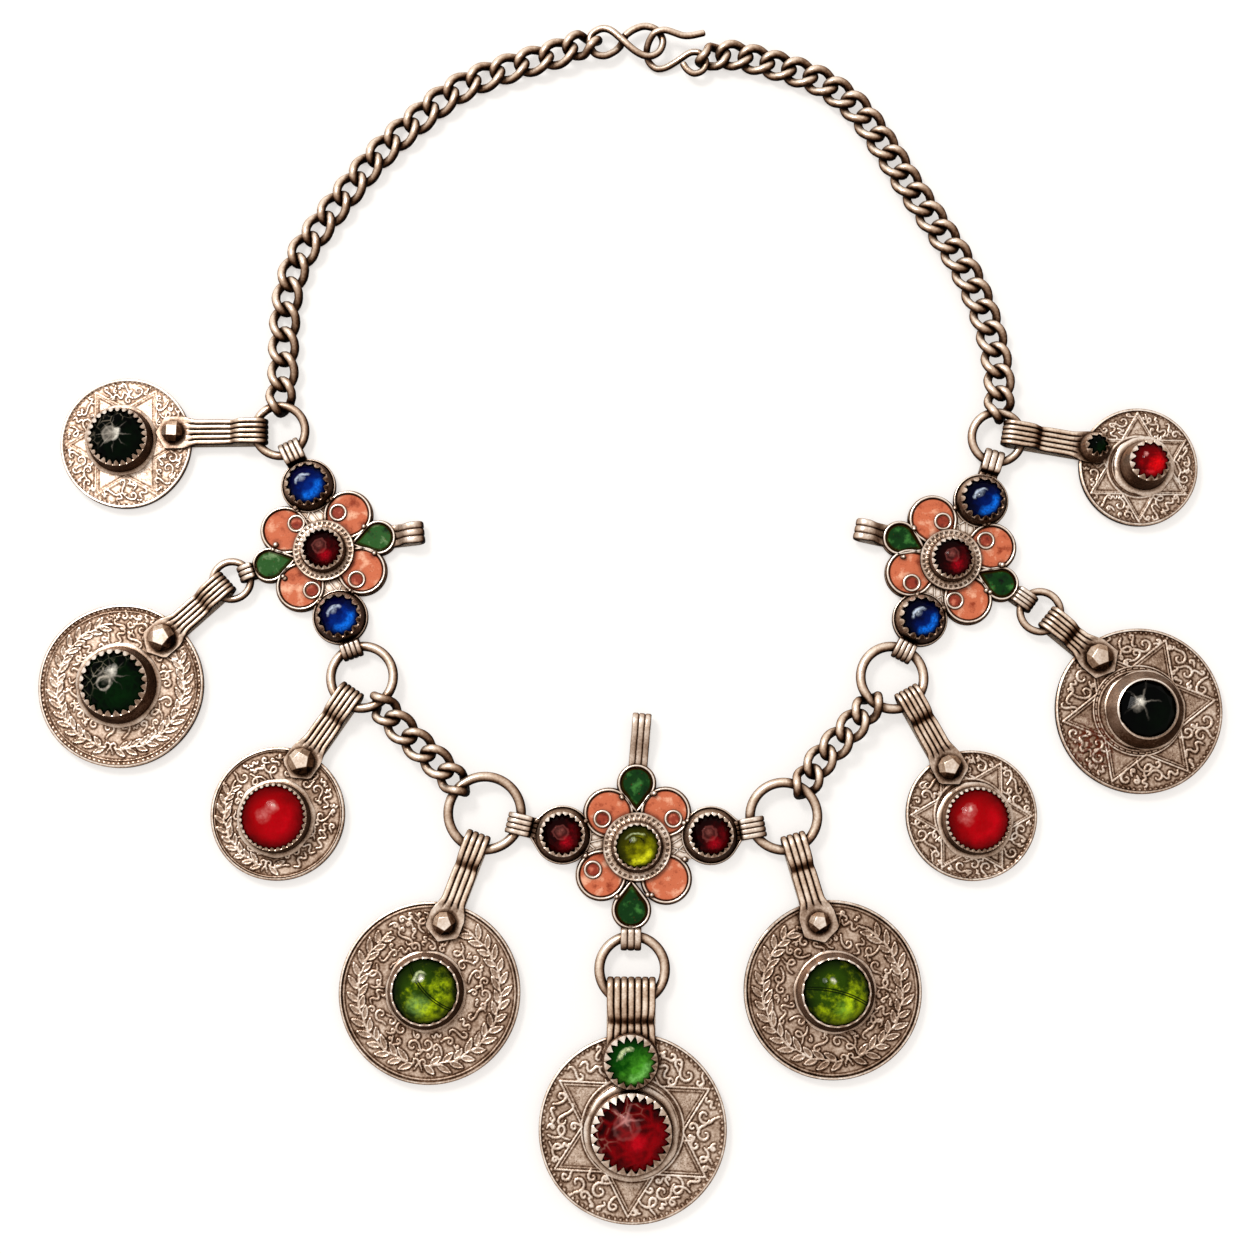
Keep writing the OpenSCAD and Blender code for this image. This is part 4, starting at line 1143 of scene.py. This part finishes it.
# Bows and patches of light in each coin's glass
COIN_LIGHTS = [
    [patch(-0.2, 0.06, 0.3, 0.4, GREY), (-0.2, 0.06, 0.27, 0.07, -10, 75, 0.75, WHITE),
     patch(0.0, 0.12, 0.2, 0.5, WHITE)],
    [(-0.22, -0.02, 0.2, 0.06, 100, 180, 0.7, GREY), patch(0.0, 0.34, 0.22, 0.8, WHITE),
     patch(-0.1, 0.2, 0.3, 0.3, GREY), (-0.45, 0.45, 0.2, 0.05, -60, 80, 0.4, GREY)],
    [patch(0.0, 0.3, 0.26, 0.4, PINK), patch(-0.28, 0.04, 0.3, 0.25, PINK),
     patch(0.05, 0.36, 0.1, 0.6, WHITE)],
    [patch(-0.4, 0.55, 0.4, 0.7, OLIVE_SHADE), patch(-0.2, -0.4, 0.42, 0.65, (126, 166, 84)),
     patch(0.35, 0.6, 0.3, 0.7, OLIVE_SHADE), patch(0.0, 0.0, 0.3, 0.4, OLIVE_SHADE),
     (-0.1, 0.4, 0.2, 0.07, 120, 90, 0.7, SAGE), patch(-0.1, 0.42, 0.13, 0.9, WHITE)],
    [patch(-0.15, 0.4, 0.2, 0.2, PINK), patch(0.15, -0.2, 0.3, 0.4, (230, 20, 40))],
    [patch(0.4, 0.35, 0.45, 0.7, OLIVE_SHADE), patch(-0.5, 0.2, 0.4, 0.6, OLIVE_SHADE),
     patch(0.2, -0.5, 0.36, 0.55, (120, 170, 50)), patch(-0.1, 0.4, 0.13, 0.9, WHITE)],
    [patch(-0.3, 0.3, 0.26, 0.4, PINK), patch(-0.45, 0.0, 0.3, 0.2, PINK),
     patch(0.2, 0.5, 0.3, 0.4, (110, 0, 8)), patch(-0.3, 0.34, 0.1, 0.6, WHITE)],
    [patch(-0.28, 0.26, 0.2, 0.8, WHITE), patch(-0.4, 0.1, 0.25, 0.35, GREY)],
    [patch(-0.32, 0.3, 0.16, 0.9, PINK), patch(0.3, -0.2, 0.5, 0.7, (240, 16, 24)),
     (-0.1, -0.3, 0.4, 0.12, -90, 40, 0.5, ROSE)],
]
# What else is seen there: a painted glint on the stone's table, lines in it, painted glint rays, cloudy
# patches and a crack
COIN_SEEN = {
    0: {"table": (-0.2, 0.06, 0.25, 0.3, GREY), "lines": 0.4, "rays": (-0.1, 0.05, 8, 0.7, 0.5, GREY)},
    1: {"lines": 0.34, "rays": (0.0, 0.2, 7, 0.6, 0.35, GREY)},
    3: {"cloud": 1.0, "crack": (-48, 0.22, 0.02)},
    4: {"table": (-0.14, 0.2, 0.3, 0.05, PINK), "lines": 0.42, "rays": (-0.12, 0.42, 5, 0.5, 0.35, PINK)},
    5: {"cloud": 1.0, "crack": (-14, -0.16, 0.04)},
    7: {"rays": (-0.28, 0.26, 5, 0.75, 0.5, GREY)},
}

# %% [markdown]
# Each coin is joined from the struck blank, the ring of solder and the setting, and gets its stone.

# %% Coins
def make_coin(i):
    x, y, d, dx, dy, r, h, foot, top = COINS[i]
    teeth, kind, length, stone_kind, rise, tone = GEMS[i]
    pattern, *values = PATTERNS[i]
    bumps = pattern(d / 2, random.Random(11 + i), *values)
    star = (STAR_REACH * d / 2, values[0], STAR_SHADE[i]) if i in STAR_SHADE else None
    covered = foot - 0.8 - math.hypot(dx, dy)
    body = coin_body(f"coin_body_{i + 1}", x, y, d / 2, covered, bumps, star, i + 3)
    finish_with(body, silver(f"coin_silver_{i + 1}", COIN_BRIGHT[i], 1.2, 0.34, 0.0, cloud=0.12, speck=0.13,
                             relief=True, rust=COIN_RUST.get(i)))
    x, y = x + dx, y + dy
    ring = foot_ring(f"coin_foot_{i + 1}", x, y, COIN_TOP, foot, i)
    wall = bezel(f"coin_bezel_{i + 1}", x, y, COIN_TOP, r, top, h, teeth, kind, length, rise, seed=i)
    coin = joined(f"struck_coin_{i + 1}", [body, ring, wall])
    hand_over(coin, f"coin_{i + 1}")
    stone_r = top - STONE_INSET
    if stone_kind == "cut":
        stone = cut(f"coin_gem_{i + 1}", x, y, COIN_TOP, stone_r, h, rise, 12 if i == 1 else 10, 8 * i)
    else:
        stone = dome(f"coin_gem_{i + 1}", x, y, COIN_TOP, stone_r, h, rise, 0.25, i)
    set_stone(stone, f"coin_stone_{i + 1}", x, y, stone_r, tone, COIN_LIGHTS[i], **COIN_SEEN.get(i, {}))
    print(coin.name, len(bumps), "bumps,", len(coin.data.polygons), "faces")


for i in range(len(COINS)):
    make_coin(i)

# %% [markdown]
# Two straps carry a small stone of their own where the others have a stud.

# %% Stones on the straps
STRAP_LIGHTS = {5: [(-0.05, 0.1, 0.42, 0.12, 125, 60, 0.8, SAGE),
                    (0.05, -0.05, 0.6, 0.22, -50, 60, 0.5, (150, 230, 120))], 9: []}
for number, r, top, h, teeth, kind, length, rise, tone in (
    (5, 5.2, 5.1, 3.8, 18, "point", 1.1, 1.6, "leaf_green"),
    (9, 2.85, 2.4, 3.6, 9, "wave", 0.6, 0.9, "night_green"),
):
    x, y = STRAPS[number - 1][2:4]
    wall = bezel(f"strap_bezel_{number}", x, y, LEAF_TOP, r, top, h, teeth, kind, length, rise, 0.15, number)
    hand_over(wall, f"strap_{number}")
    stone_r = top - STONE_INSET
    stone = dome(f"strap_gem_{number}", x, y, LEAF_TOP, stone_r, h, rise, 0.15, number)
    set_stone(stone, f"strap_stone_{number}", x, y, stone_r, tone, STRAP_LIGHTS[number], cloud=0.35)
    print(wall.name, teeth, "teeth")

# %% [markdown]
# ## The three flowers
# Each flower is a sheet of silver with wire soldered on edge to make cells. Four petals hold coral
# enamel, two drops hold green enamel, and three round settings hold glass.

# %% Cells
PLATE_Z = 0.4
PLATE_TOP = 1.3
CELL_H = 1.0
FLOWERS = {"left": (-59.0, 10.8, 14.3), "right": (61.9, 9.0, -25.7), "front": (1.4, -46.1, 0.0)}
# Petal: x, y, radius, ring's x and y
PETALS = {
    "left": [(6.1, 5.8, 4.6, 4.4, 6.6), (-6.4, 5.8, 4.6, -3.9, 6.5), (-6.0, -5.6, 4.6, -4.0, -6.9),
             (6.2, -5.5, 4.6, 4.8, -7.0)],
    "right": [(6.1, 5.8, 4.6, 4.5, 6.4), (-6.4, 5.8, 4.6, -4.5, 6.2), (-6.0, -5.6, 4.6, -4.9, -7.3),
              (6.2, -5.5, 4.6, 4.0, -6.8)],
    "front": [(5.4, 6.6, 4.7, 6.9, 5.3), (-5.4, 6.4, 4.7, -6.6, 5.3), (-6.8, -5.3, 4.7, -8.4, -4.3),
              (5.5, -6.0, 4.7)],
}
# Drop: x, y, radius, length of its point, direction of its point
DROPS = {
    "left": [(-10.8, 0, 3.0, 5.2, 0), (10.8, 0, 3.0, 5.2, 180)],
    "right": [(-10.6, -0.3, 3.0, 5.2, 0), (10.7, 0.15, 3.0, 5.2, 180)],
    "front": [(-0.1, 12.1, 3.3, 5.4, 270), (-1.1, -11.9, 3.3, 5.4, 90)],
}
# Setting: name, x, y, radius at the foot and the edge, height, teeth, cut, reach, stone, rise, glass
SETTINGS = {
    "left": [("center", 0, 0, 4.5, 4.15, 4.6, 20, "point", 0.6, "cut", 0.9, "garnet"),
             ("top", 0, 13.2, 4.9, 4.3, 3.6, 15, "round", 0.6, "dome", 1.6, "blue"),
             ("bottom", 0, -13.2, 4.95, 4.35, 3.6, 14, "round", 0.6, "dome", 1.6, "blue")],
    "right": [("center", 0, 0, 4.5, 4.15, 4.6, 20, "point", 0.6, "dome", 1.2, "garnet"),
              ("top", 0.45, 13.15, 4.9, 4.3, 3.6, 15, "round", 0.6, "dome", 1.6, "deep_blue"),
              ("bottom", -0.5, -12.9, 4.9, 4.3, 3.6, 14, "round", 0.6, "dome", 1.6, "deep_blue")],
    "front": [("center", 0, 0, 5.2, 4.5, 4.4, 22, "wave", 0.4, "dome", 1.2, "yellow"),
              ("left", -14.2, 2.3, 5.2, 4.35, 3.4, 20, "point", 0.6, "cut", 0.8, "garnet"),
              ("right", 14.0, 2.2, 5.2, 4.35, 3.4, 20, "point", 0.6, "cut", 0.8, "garnet")],
}
FLOWER_LIGHTS = {
    "blue_glass": [(-0.08, 0.0, 0.4, 0.1, 125, 75, 0.75, SKY), patch(-0.22, 0.2, 0.24, 0.35, SKY),
                   (0.0, -0.05, 0.62, 0.24, -45, 70, 0.85, (24, 120, 246))],
    "garnet_glass": [patch(-0.1, 0.15, 0.25, 0.3, (190, 110, 100)),
                     patch(0.2, -0.4, 0.4, 0.55, (200, 14, 36))],
    "yellow_glass": [(0.0, -0.05, 0.45, 0.07, 95, 75, 1.3, (12, 12, 0)),
                     (0.0, 0.0, 0.64, 0.06, 100, 50, 0.6, SAGE), patch(-0.4, 0.4, 0.4, 0.5, (34, 34, 0)),
                     (0.0, -0.1, 0.6, 0.22, -60, 60, 0.8, (236, 236, 40)),
                     patch(-0.2, 0.3, 0.16, 0.6, SAGE)],
}
# A painted glint on the garnets' table
GARNET_TABLE_GLINT = (-0.08, 0.08, 0.34, 0.22, (170, 90, 84))
COLLAR_R = {"left": 5.9, "right": 5.9, "front": 6.5}
WING = {"left": 0.5, "right": 0.5, "front": 2.0}


def in_flower(name, points):
    """Points of a flower's own drawing moved to its place on the necklace."""
    x, y, turn = FLOWERS[name]
    return turned(points, turn, x, y)


def drop_line(x, y, r, point, direction, inset=0.0):
    """Outline of a round lobe drawn out to a point, as a closed line."""
    r = r - inset
    point = point - inset * point / (r + inset)
    touch = math.degrees(math.acos(min(0.999, r / point)))
    line = [polar(r, a) for a in np.linspace(touch, 360 - touch, 56)]
    (first_x, first_y), (last_x, last_y) = line[0], line[-1]
    for u in (0.25, 0.5, 0.75, 1.0):
        line.append((last_x + (point - last_x) * u, last_y * (1 - u)))
    for u in (0.25, 0.5, 0.75):
        line.append((point + (first_x - point) * u, first_y * u))
    return turned(line, direction, x, y)


def petal_line(p, inset=0.0):
    far = math.hypot(p[0], p[1])
    return drop_line(p[0], p[1], p[2], far, math.degrees(math.atan2(-p[1], -p[0])), inset)


def at_height(line, z):
    return np.column_stack([line, np.full(len(line), z)])


def slab(name, line, low, high, edge=0.12):
    """A flat plate with this outline and a softened upper edge."""
    line = np.asarray(line, float)
    middle = line.mean(axis=0)
    size = np.linalg.norm(line - middle, axis=1).mean()
    inner = middle + (line - middle) * (1 - edge / size)
    return skin(name, [at_height(line, low), at_height(line, high - edge), at_height(inner, high)])


def edge_wire(name, line, low, high, wide=0.5):
    """Flat wire stood on its edge along a closed line, its top worn round."""
    line = np.asarray(line, float)
    ahead = np.roll(line, -1, axis=0) - np.roll(line, 1, axis=0)
    ahead = ahead / np.maximum(np.linalg.norm(ahead, axis=1), 1e-6)[:, None]
    side = np.column_stack([ahead[:, 1], -ahead[:, 0]])
    half = wide / 2
    section = ((-half, low), (-half, high - 0.16), (-half / 2, high), (half / 2, high), (half, high - 0.16),
               (half, low))
    rows = np.stack([at_height(line + side * off, z) for off, z in section], axis=1)
    return finish_with(skin(name, rows, closed=True, degrees=60), SILVER["cell"])


def granule(name, x, y, z, r):
    """A small ball of silver, melted on charcoal and soldered in place."""
    deselect()
    at = (x * MM, y * MM, z * MM)
    bpy.ops.mesh.primitive_uv_sphere_add(segments=14, ring_count=8, radius=r * MM, location=at)
    ball = bpy.context.object
    ball.name = name
    bpy.ops.object.transform_apply(location=True, rotation=False, scale=False)
    bpy.ops.object.shade_smooth()
    return finish_with(ball, SILVER["flower"])


# %% [markdown]
# Bails are the short ribbed loops that grow out of a flower and hold its rings. They are strips like the
# straps, folded more tightly.

# %% Bails
BAIL_EYE_R = 1.3
# Bails: loop end x, y, what it grows from (0, 1 a drop; 2, 3 a side setting), width, ribs, loop
# length, and 1 for the empty one, which slopes down all the way
BAILS = {
    "left": [(-66.5, 32.2, 2, 4.1, 4, 2.4, 0), (-52.9, -9.95, 3, 3.9, 4, 1.0, 0),
             (-75.3, 6.0, 0, 3.1, 3, 0.95, 0), (-39.8, 14.5, 1, 4.2, 3, 0.6, 1)],
    "right": [(71.0, 30.5, 2, 3.8, 3, 2.4, 0), (51.8, -10.3, 3, 3.8, 4, 1.7, 0),
              (77.7, 0.1, 1, 3.4, 4, 2.1, 0), (43.6, 15.2, 0, 4.1, 3, 0.6, 1)],
    "front": [(-23.3, -41.3, 2, 4.0, 4, 2.6, 0), (25.7, -42.1, 3, 4.0, 4, 2.6, 0),
              (0.2, -65.5, 1, 3.9, 3, 1.9, 0), (2.4, -20.7, 0, 3.6, 3, 0.6, 1)],
}


def bail_root(name, bail):
    part = DROPS[name][bail[2]] if bail[2] < 2 else SETTINGS[name][bail[2] - 1][1:4]
    return in_flower(name, [part[:2]])[0], part[2]


def make_bail(name, k, bail):
    x, y, _, width, ribs, loop_len, closed = bail
    root, root_r = bail_root(name, bail)
    reach = math.hypot(root[0] - x, root[1] - y) - BAIL_EYE_R - STRIP_T - root_r + 0.3
    loop_len = 1.0 if closed else loop_len
    step = reach - loop_len - 0.6 if closed else 0.6
    fade = reach if closed else min(reach, loop_len + 2.2)

    def width_at(s):
        return width * (1 - 0.08 * math.exp(-((s - loop_len - 0.9) / 0.8) ** 2))

    def amount_at(s):
        return np.interp(s, [fade - 0.3, fade + 0.5], [0.6, 0.0])

    body = strip(f"bail_{name}_{k}", (x, y), root, BAIL_EYE_R, loop_len, step, reach, PLATE_TOP,
                 reach + 3, width_at, ribs, amount_at)
    return finish_with(body, SILVER["flower"])


# %% [markdown]
# The collar round the middle setting is a flat ring punched with a row of dots.

# %% Collar
DOTS = 34


def collar(x, y, r, low, high):
    angles = circle(DOTS * 6)
    dip = np.where(np.isin(np.arange(DOTS * 6) % 6, (1, 2, 3)), 0.14, 0.0)
    profile = [(r + 0.25, low), (r + 0.1, low + 0.3), (r, high - 0.1), (r - 0.12, high),
               (r - 0.42, high - 0.02), (r - 0.5, high - dip), (r - 0.85, high - dip),
               (r - 0.95, high - 0.02), (0.4, high - 0.05)]
    ring = finish_with(lathe("collar", x, y, 0.0, profile, angles), SILVER["collar"])

    def on_dot(u, v, w, normal):
        share = math.degrees(math.atan2(v - y, u - x)) % 360 / 360 * DOTS % 1.0
        return r - 0.88 < math.hypot(u - x, v - y) < r - 0.45 and 0.1 < share < 0.6

    return second_finish(ring, SILVER["dash"], on_dot)


# %% [markdown]
# A side setting stands on a small plate, and an arm leads from it to the collar. On each arm lie five
# thin wires, laid as rays.

# %% Settings of a flower
WALL_LOW = PLATE_TOP - 0.1
WALL_HIGH = PLATE_TOP + CELL_H
ARM_HALF = 3.8
# Where each ray starts at the collar and where it ends, across the arm
RAYS = [(-2.6, -0.9), (-0.9, -2.4), (0.9, 2.4), (2.6, 0.9), (-0.6, 0.6)]


def side_parts(name, kind, x, y, r):
    """Plate, wire, arm and rays of a side setting."""
    far, direction = math.hypot(x, y), math.degrees(math.atan2(y, x))
    wing = r + WING[name]

    def placed(line):
        return in_flower(name, turned(line, direction))

    outline = in_flower(name, drop_line(x, y, r + 0.4, wing, direction))
    rim = in_flower(name, drop_line(x, y, r + 0.2, wing - 0.1, direction))
    arm = placed([(a, -ARM_HALF) for a in (0, far / 2, far)] + [(a, ARM_HALF) for a in (far, far / 2, 0)])
    parts = [
        finish_with(slab(f"side_plate_{kind}", outline, PLATE_Z, PLATE_TOP + 0.25), SILVER["flower"]),
        edge_wire(f"side_wire_{kind}", rim, WALL_LOW, PLATE_TOP + 0.6, 0.4),
        finish_with(slab(f"arm_{kind}", arm, PLATE_Z, PLATE_TOP + 0.3), SILVER["arm"]),
    ]
    near, gone = COLLAR_R[name] - 0.2, far - r
    for u, v in RAYS:
        ray = placed([(near, u - 0.12), (gone, v - 0.12), (gone, v + 0.12), (near, u + 0.12)])
        parts.append(finish_with(slab(f"ray_{kind}", ray, PLATE_TOP, PLATE_TOP + 0.55, 0.08), SILVER["cell"]))
    return parts


def flower_setting(name, kind, x, y, r, top, h, teeth, edge_cut, length, stone_kind, rise, tone):
    """A setting of a flower with what belongs to it. Its stone is handed over at once."""
    cx, cy = in_flower(name, [(x, y)])[0]
    wall_r = r if kind == "center" else r - 0.1
    parts = [bezel(f"bezel_{kind}", cx, cy, PLATE_TOP, wall_r, top, h, teeth, edge_cut, length, rise, 0.1,
                   teeth)]
    if kind == "center":
        parts.append(collar(cx, cy, COLLAR_R[name], PLATE_Z, PLATE_TOP + 1.7))
    else:
        parts += side_parts(name, kind, x, y, r)
    stone_r = top - STONE_INSET
    if stone_kind == "cut":
        stone = cut(f"gem_{name}_{kind}", cx, cy, PLATE_TOP, stone_r, h, rise, 8, 12, 0.5)
    else:
        stone = dome(f"gem_{name}_{kind}", cx, cy, PLATE_TOP, stone_r, h, rise, 0.15, teeth)
    slot = GLASSES[tone][0]
    set_stone(stone, f"stone_{name}_{kind}", cx, cy, stone_r, tone, FLOWER_LIGHTS[slot],
              cloud=0.22 if slot == "blue_glass" else 0.45, table=GARNET_TABLE_GLINT if tone == "garnet" else None)
    return parts


# %% [markdown]
# Now each flower is put together: plates and cell wires first, then the settings, the granules in the
# corners between the cells, and the bails. The enamel is filled in last.

# %% Flowers
DOT_R = 1.5
GRANULE_R = (0.42, 0.6)


def corners(name):
    """Places between a petal and its neighbours, where granules sit."""
    spots = []
    for px, py, *_ in PETALS[name]:
        for dx, dy, *_ in DROPS[name]:
            if math.hypot(px - dx, py - dy) < 9:
                spots.append(((px + dx) / 2 * 1.06, (py + dy) / 2 * 1.06))
        for _, sx, sy, *_ in SETTINGS[name][1:]:
            if math.hypot(px - sx, py - sy) < 12:
                spots.append((px + (sx - px) * 0.47, py + (sy - py) * 0.47))
    return spots


def make_flower(name):
    rng = random.Random(len(name))
    parts, petals, dots, drops = [], [], [], []

    def plate(kind, line, up):
        flat = slab(kind, in_flower(name, line), PLATE_Z, PLATE_TOP + up)
        parts.append(finish_with(flat, SILVER["flower"]))

    def wire(kind, line, up=0.0, wide=0.5):
        parts.append(edge_wire(kind, in_flower(name, line), WALL_LOW, WALL_HIGH + up, wide))

    def enamel_in(kind, line, down, edge, paint):
        return finish_with(slab(kind, in_flower(name, line), PLATE_TOP, WALL_HIGH - down, edge), paint)

    for k, p in enumerate(PETALS[name]):
        plate(f"petal_plate_{k}", petal_line(p, -0.25), 0.05)
        wire(f"petal_wire_{k}", petal_line(p, 0.25))
        petals.append(enamel_in(f"petal_fill_{k}", petal_line(p, 0.5), 0.22, 0.35, coral))
        if len(p) > 3:
            dot = [(p[3] + DOT_R * math.cos(a), p[4] + DOT_R * math.sin(a)) for a in circle(36)]
            wire(f"petal_ring_{k}", dot, 0.1, 0.52)
            dots.append(enamel_in(f"petal_dot_{k}", dot, 0.12, 0.5, dot_red))
    green = pale_green if name == "left" else deep_green
    for k, d in enumerate(DROPS[name]):
        plate(f"drop_plate_{k}", drop_line(*d, -0.5), 0.1)
        wire(f"drop_wire_{k}", drop_line(*d, -0.05))
        drops.append(enamel_in(f"drop_fill_{k}", drop_line(*d, 0.2), 0.1, 0.6, green))
    for setting in SETTINGS[name]:
        parts += flower_setting(name, *setting)
    for x, y in corners(name):
        for j in range(2):
            spot = [(x + rng.uniform(-0.5, 0.5), y + rng.uniform(-0.5, 0.5))]
            gx, gy = in_flower(name, spot)[0]
            parts.append(granule("granule", gx, gy, PLATE_TOP + 0.8 + 0.3 * j, rng.uniform(*GRANULE_R)))
    for k, bail in enumerate(BAILS[name]):
        parts.append(make_bail(name, k, bail))
    body = joined(f"worked_flower_{name}", parts)
    hand_over(body, f"flower_{name}")
    hand_over(joined(f"coral_fill_{name}", petals + dots), "petal_enamel")
    hand_over(joined(f"green_fill_{name}", drops), "drop_enamel")
    print(body.name, len(body.data.polygons), "faces")


for name in FLOWERS:
    make_flower(name)

# %% [markdown]
# ## Floor, light and camera
# The necklace lies on a plain pale floor that is lit from below as well, as on a photo table. Only a thin
# brown shadow is seen where the metal touches it.

# %% Floor
# The share of the floor's light that comes from the room. The rest is its own.
FLOOR_SHARE = 0.4
deselect()
bpy.ops.mesh.primitive_plane_add(size=3.0, location=(0, 0, -0.2 * MM))
floor = bpy.context.object
floor.name = "floor"
paper, tree, surface = new_finish("pale_paper")
tint = ramp(noise(tree, 60.0), [(0.3, (250, 248, 246)), (0.7, (253, 252, 250))])
# Painted shadow: brown where the metal stands close to the floor.
tint = mix(tree, fit(open_air(tree, 1.3, 12), 0.1, 0.62), linear(126, 88, 66), tint)
feed(surface, {
    "Base Color": mix(tree, 1.0, tint, (FLOOR_SHARE, FLOOR_SHARE, FLOOR_SHARE), "MULTIPLY"),
    "Emission Color": mix(tree, 1.0, tint, linear(255, 251, 248), "MULTIPLY"),
    "Emission Strength": 1.04 - FLOOR_SHARE, "Roughness": 0.9,
})
finish_with(floor, paper)
print("floor at", floor.location.z / MM, "mm")

# %% [markdown]
# The light is soft and comes from all round, a little stronger from the upper left. A second small lamp
# only makes the glints.

# %% Light
world = bpy.data.worlds.new("soft_room")
bpy.context.scene.world = world
world.use_nodes = True
feed(world.node_tree.nodes["Background"], {0: (1.0, 0.985, 0.97, 1), 1: 0.92})


def softbox(name, at, size, power, tint=(1, 1, 1)):
    """A round lamp that looks at the middle of the necklace."""
    light = bpy.data.lights.new(name, "AREA")
    light.shape = "DISK"
    light.energy = power
    light.size = size
    light.color = tint
    lamp = stand(name, light)
    lamp.location = at
    lamp.rotation_mode = "QUATERNION"
    lamp.rotation_quaternion = (-Vector(at)).to_track_quat("-Z", "Y")
    return lamp


key = softbox("key", (-0.36, 0.42, 0.72), 0.24, 4.0, (1.0, 0.98, 0.95))
glint = softbox("glint", (-0.28, 0.40, 0.74), 0.08, 1.8)
glint.visible_diffuse = False
print("lamps:", key.name, glint.name)

# %% [markdown]
# The photograph was taken from almost straight above, tilted a little towards the wearer's front.

# %% Camera
TILT = math.radians(7.0)
FAR = 0.46
AIM = Vector((-0.00053, -0.00397, 0.002))
lens = bpy.data.cameras.new("camera")
lens.lens = 68.7
lens.sensor_width = 36.0
camera = stand("camera", lens)
back = Vector((0, -math.sin(TILT), math.cos(TILT)))
camera.location = AIM + back * FAR
camera.rotation_mode = "QUATERNION"
camera.rotation_quaternion = (-back).to_track_quat("-Z", "Y")
bpy.context.scene.camera = camera
bpy.context.scene.view_settings.view_transform = "Standard"
print("camera at", [round(c, 3) for c in camera.location])

# %% [markdown]
# ## Last step
# The scene is brought up to date.

# %% Update the scene
bpy.context.view_layer.update()
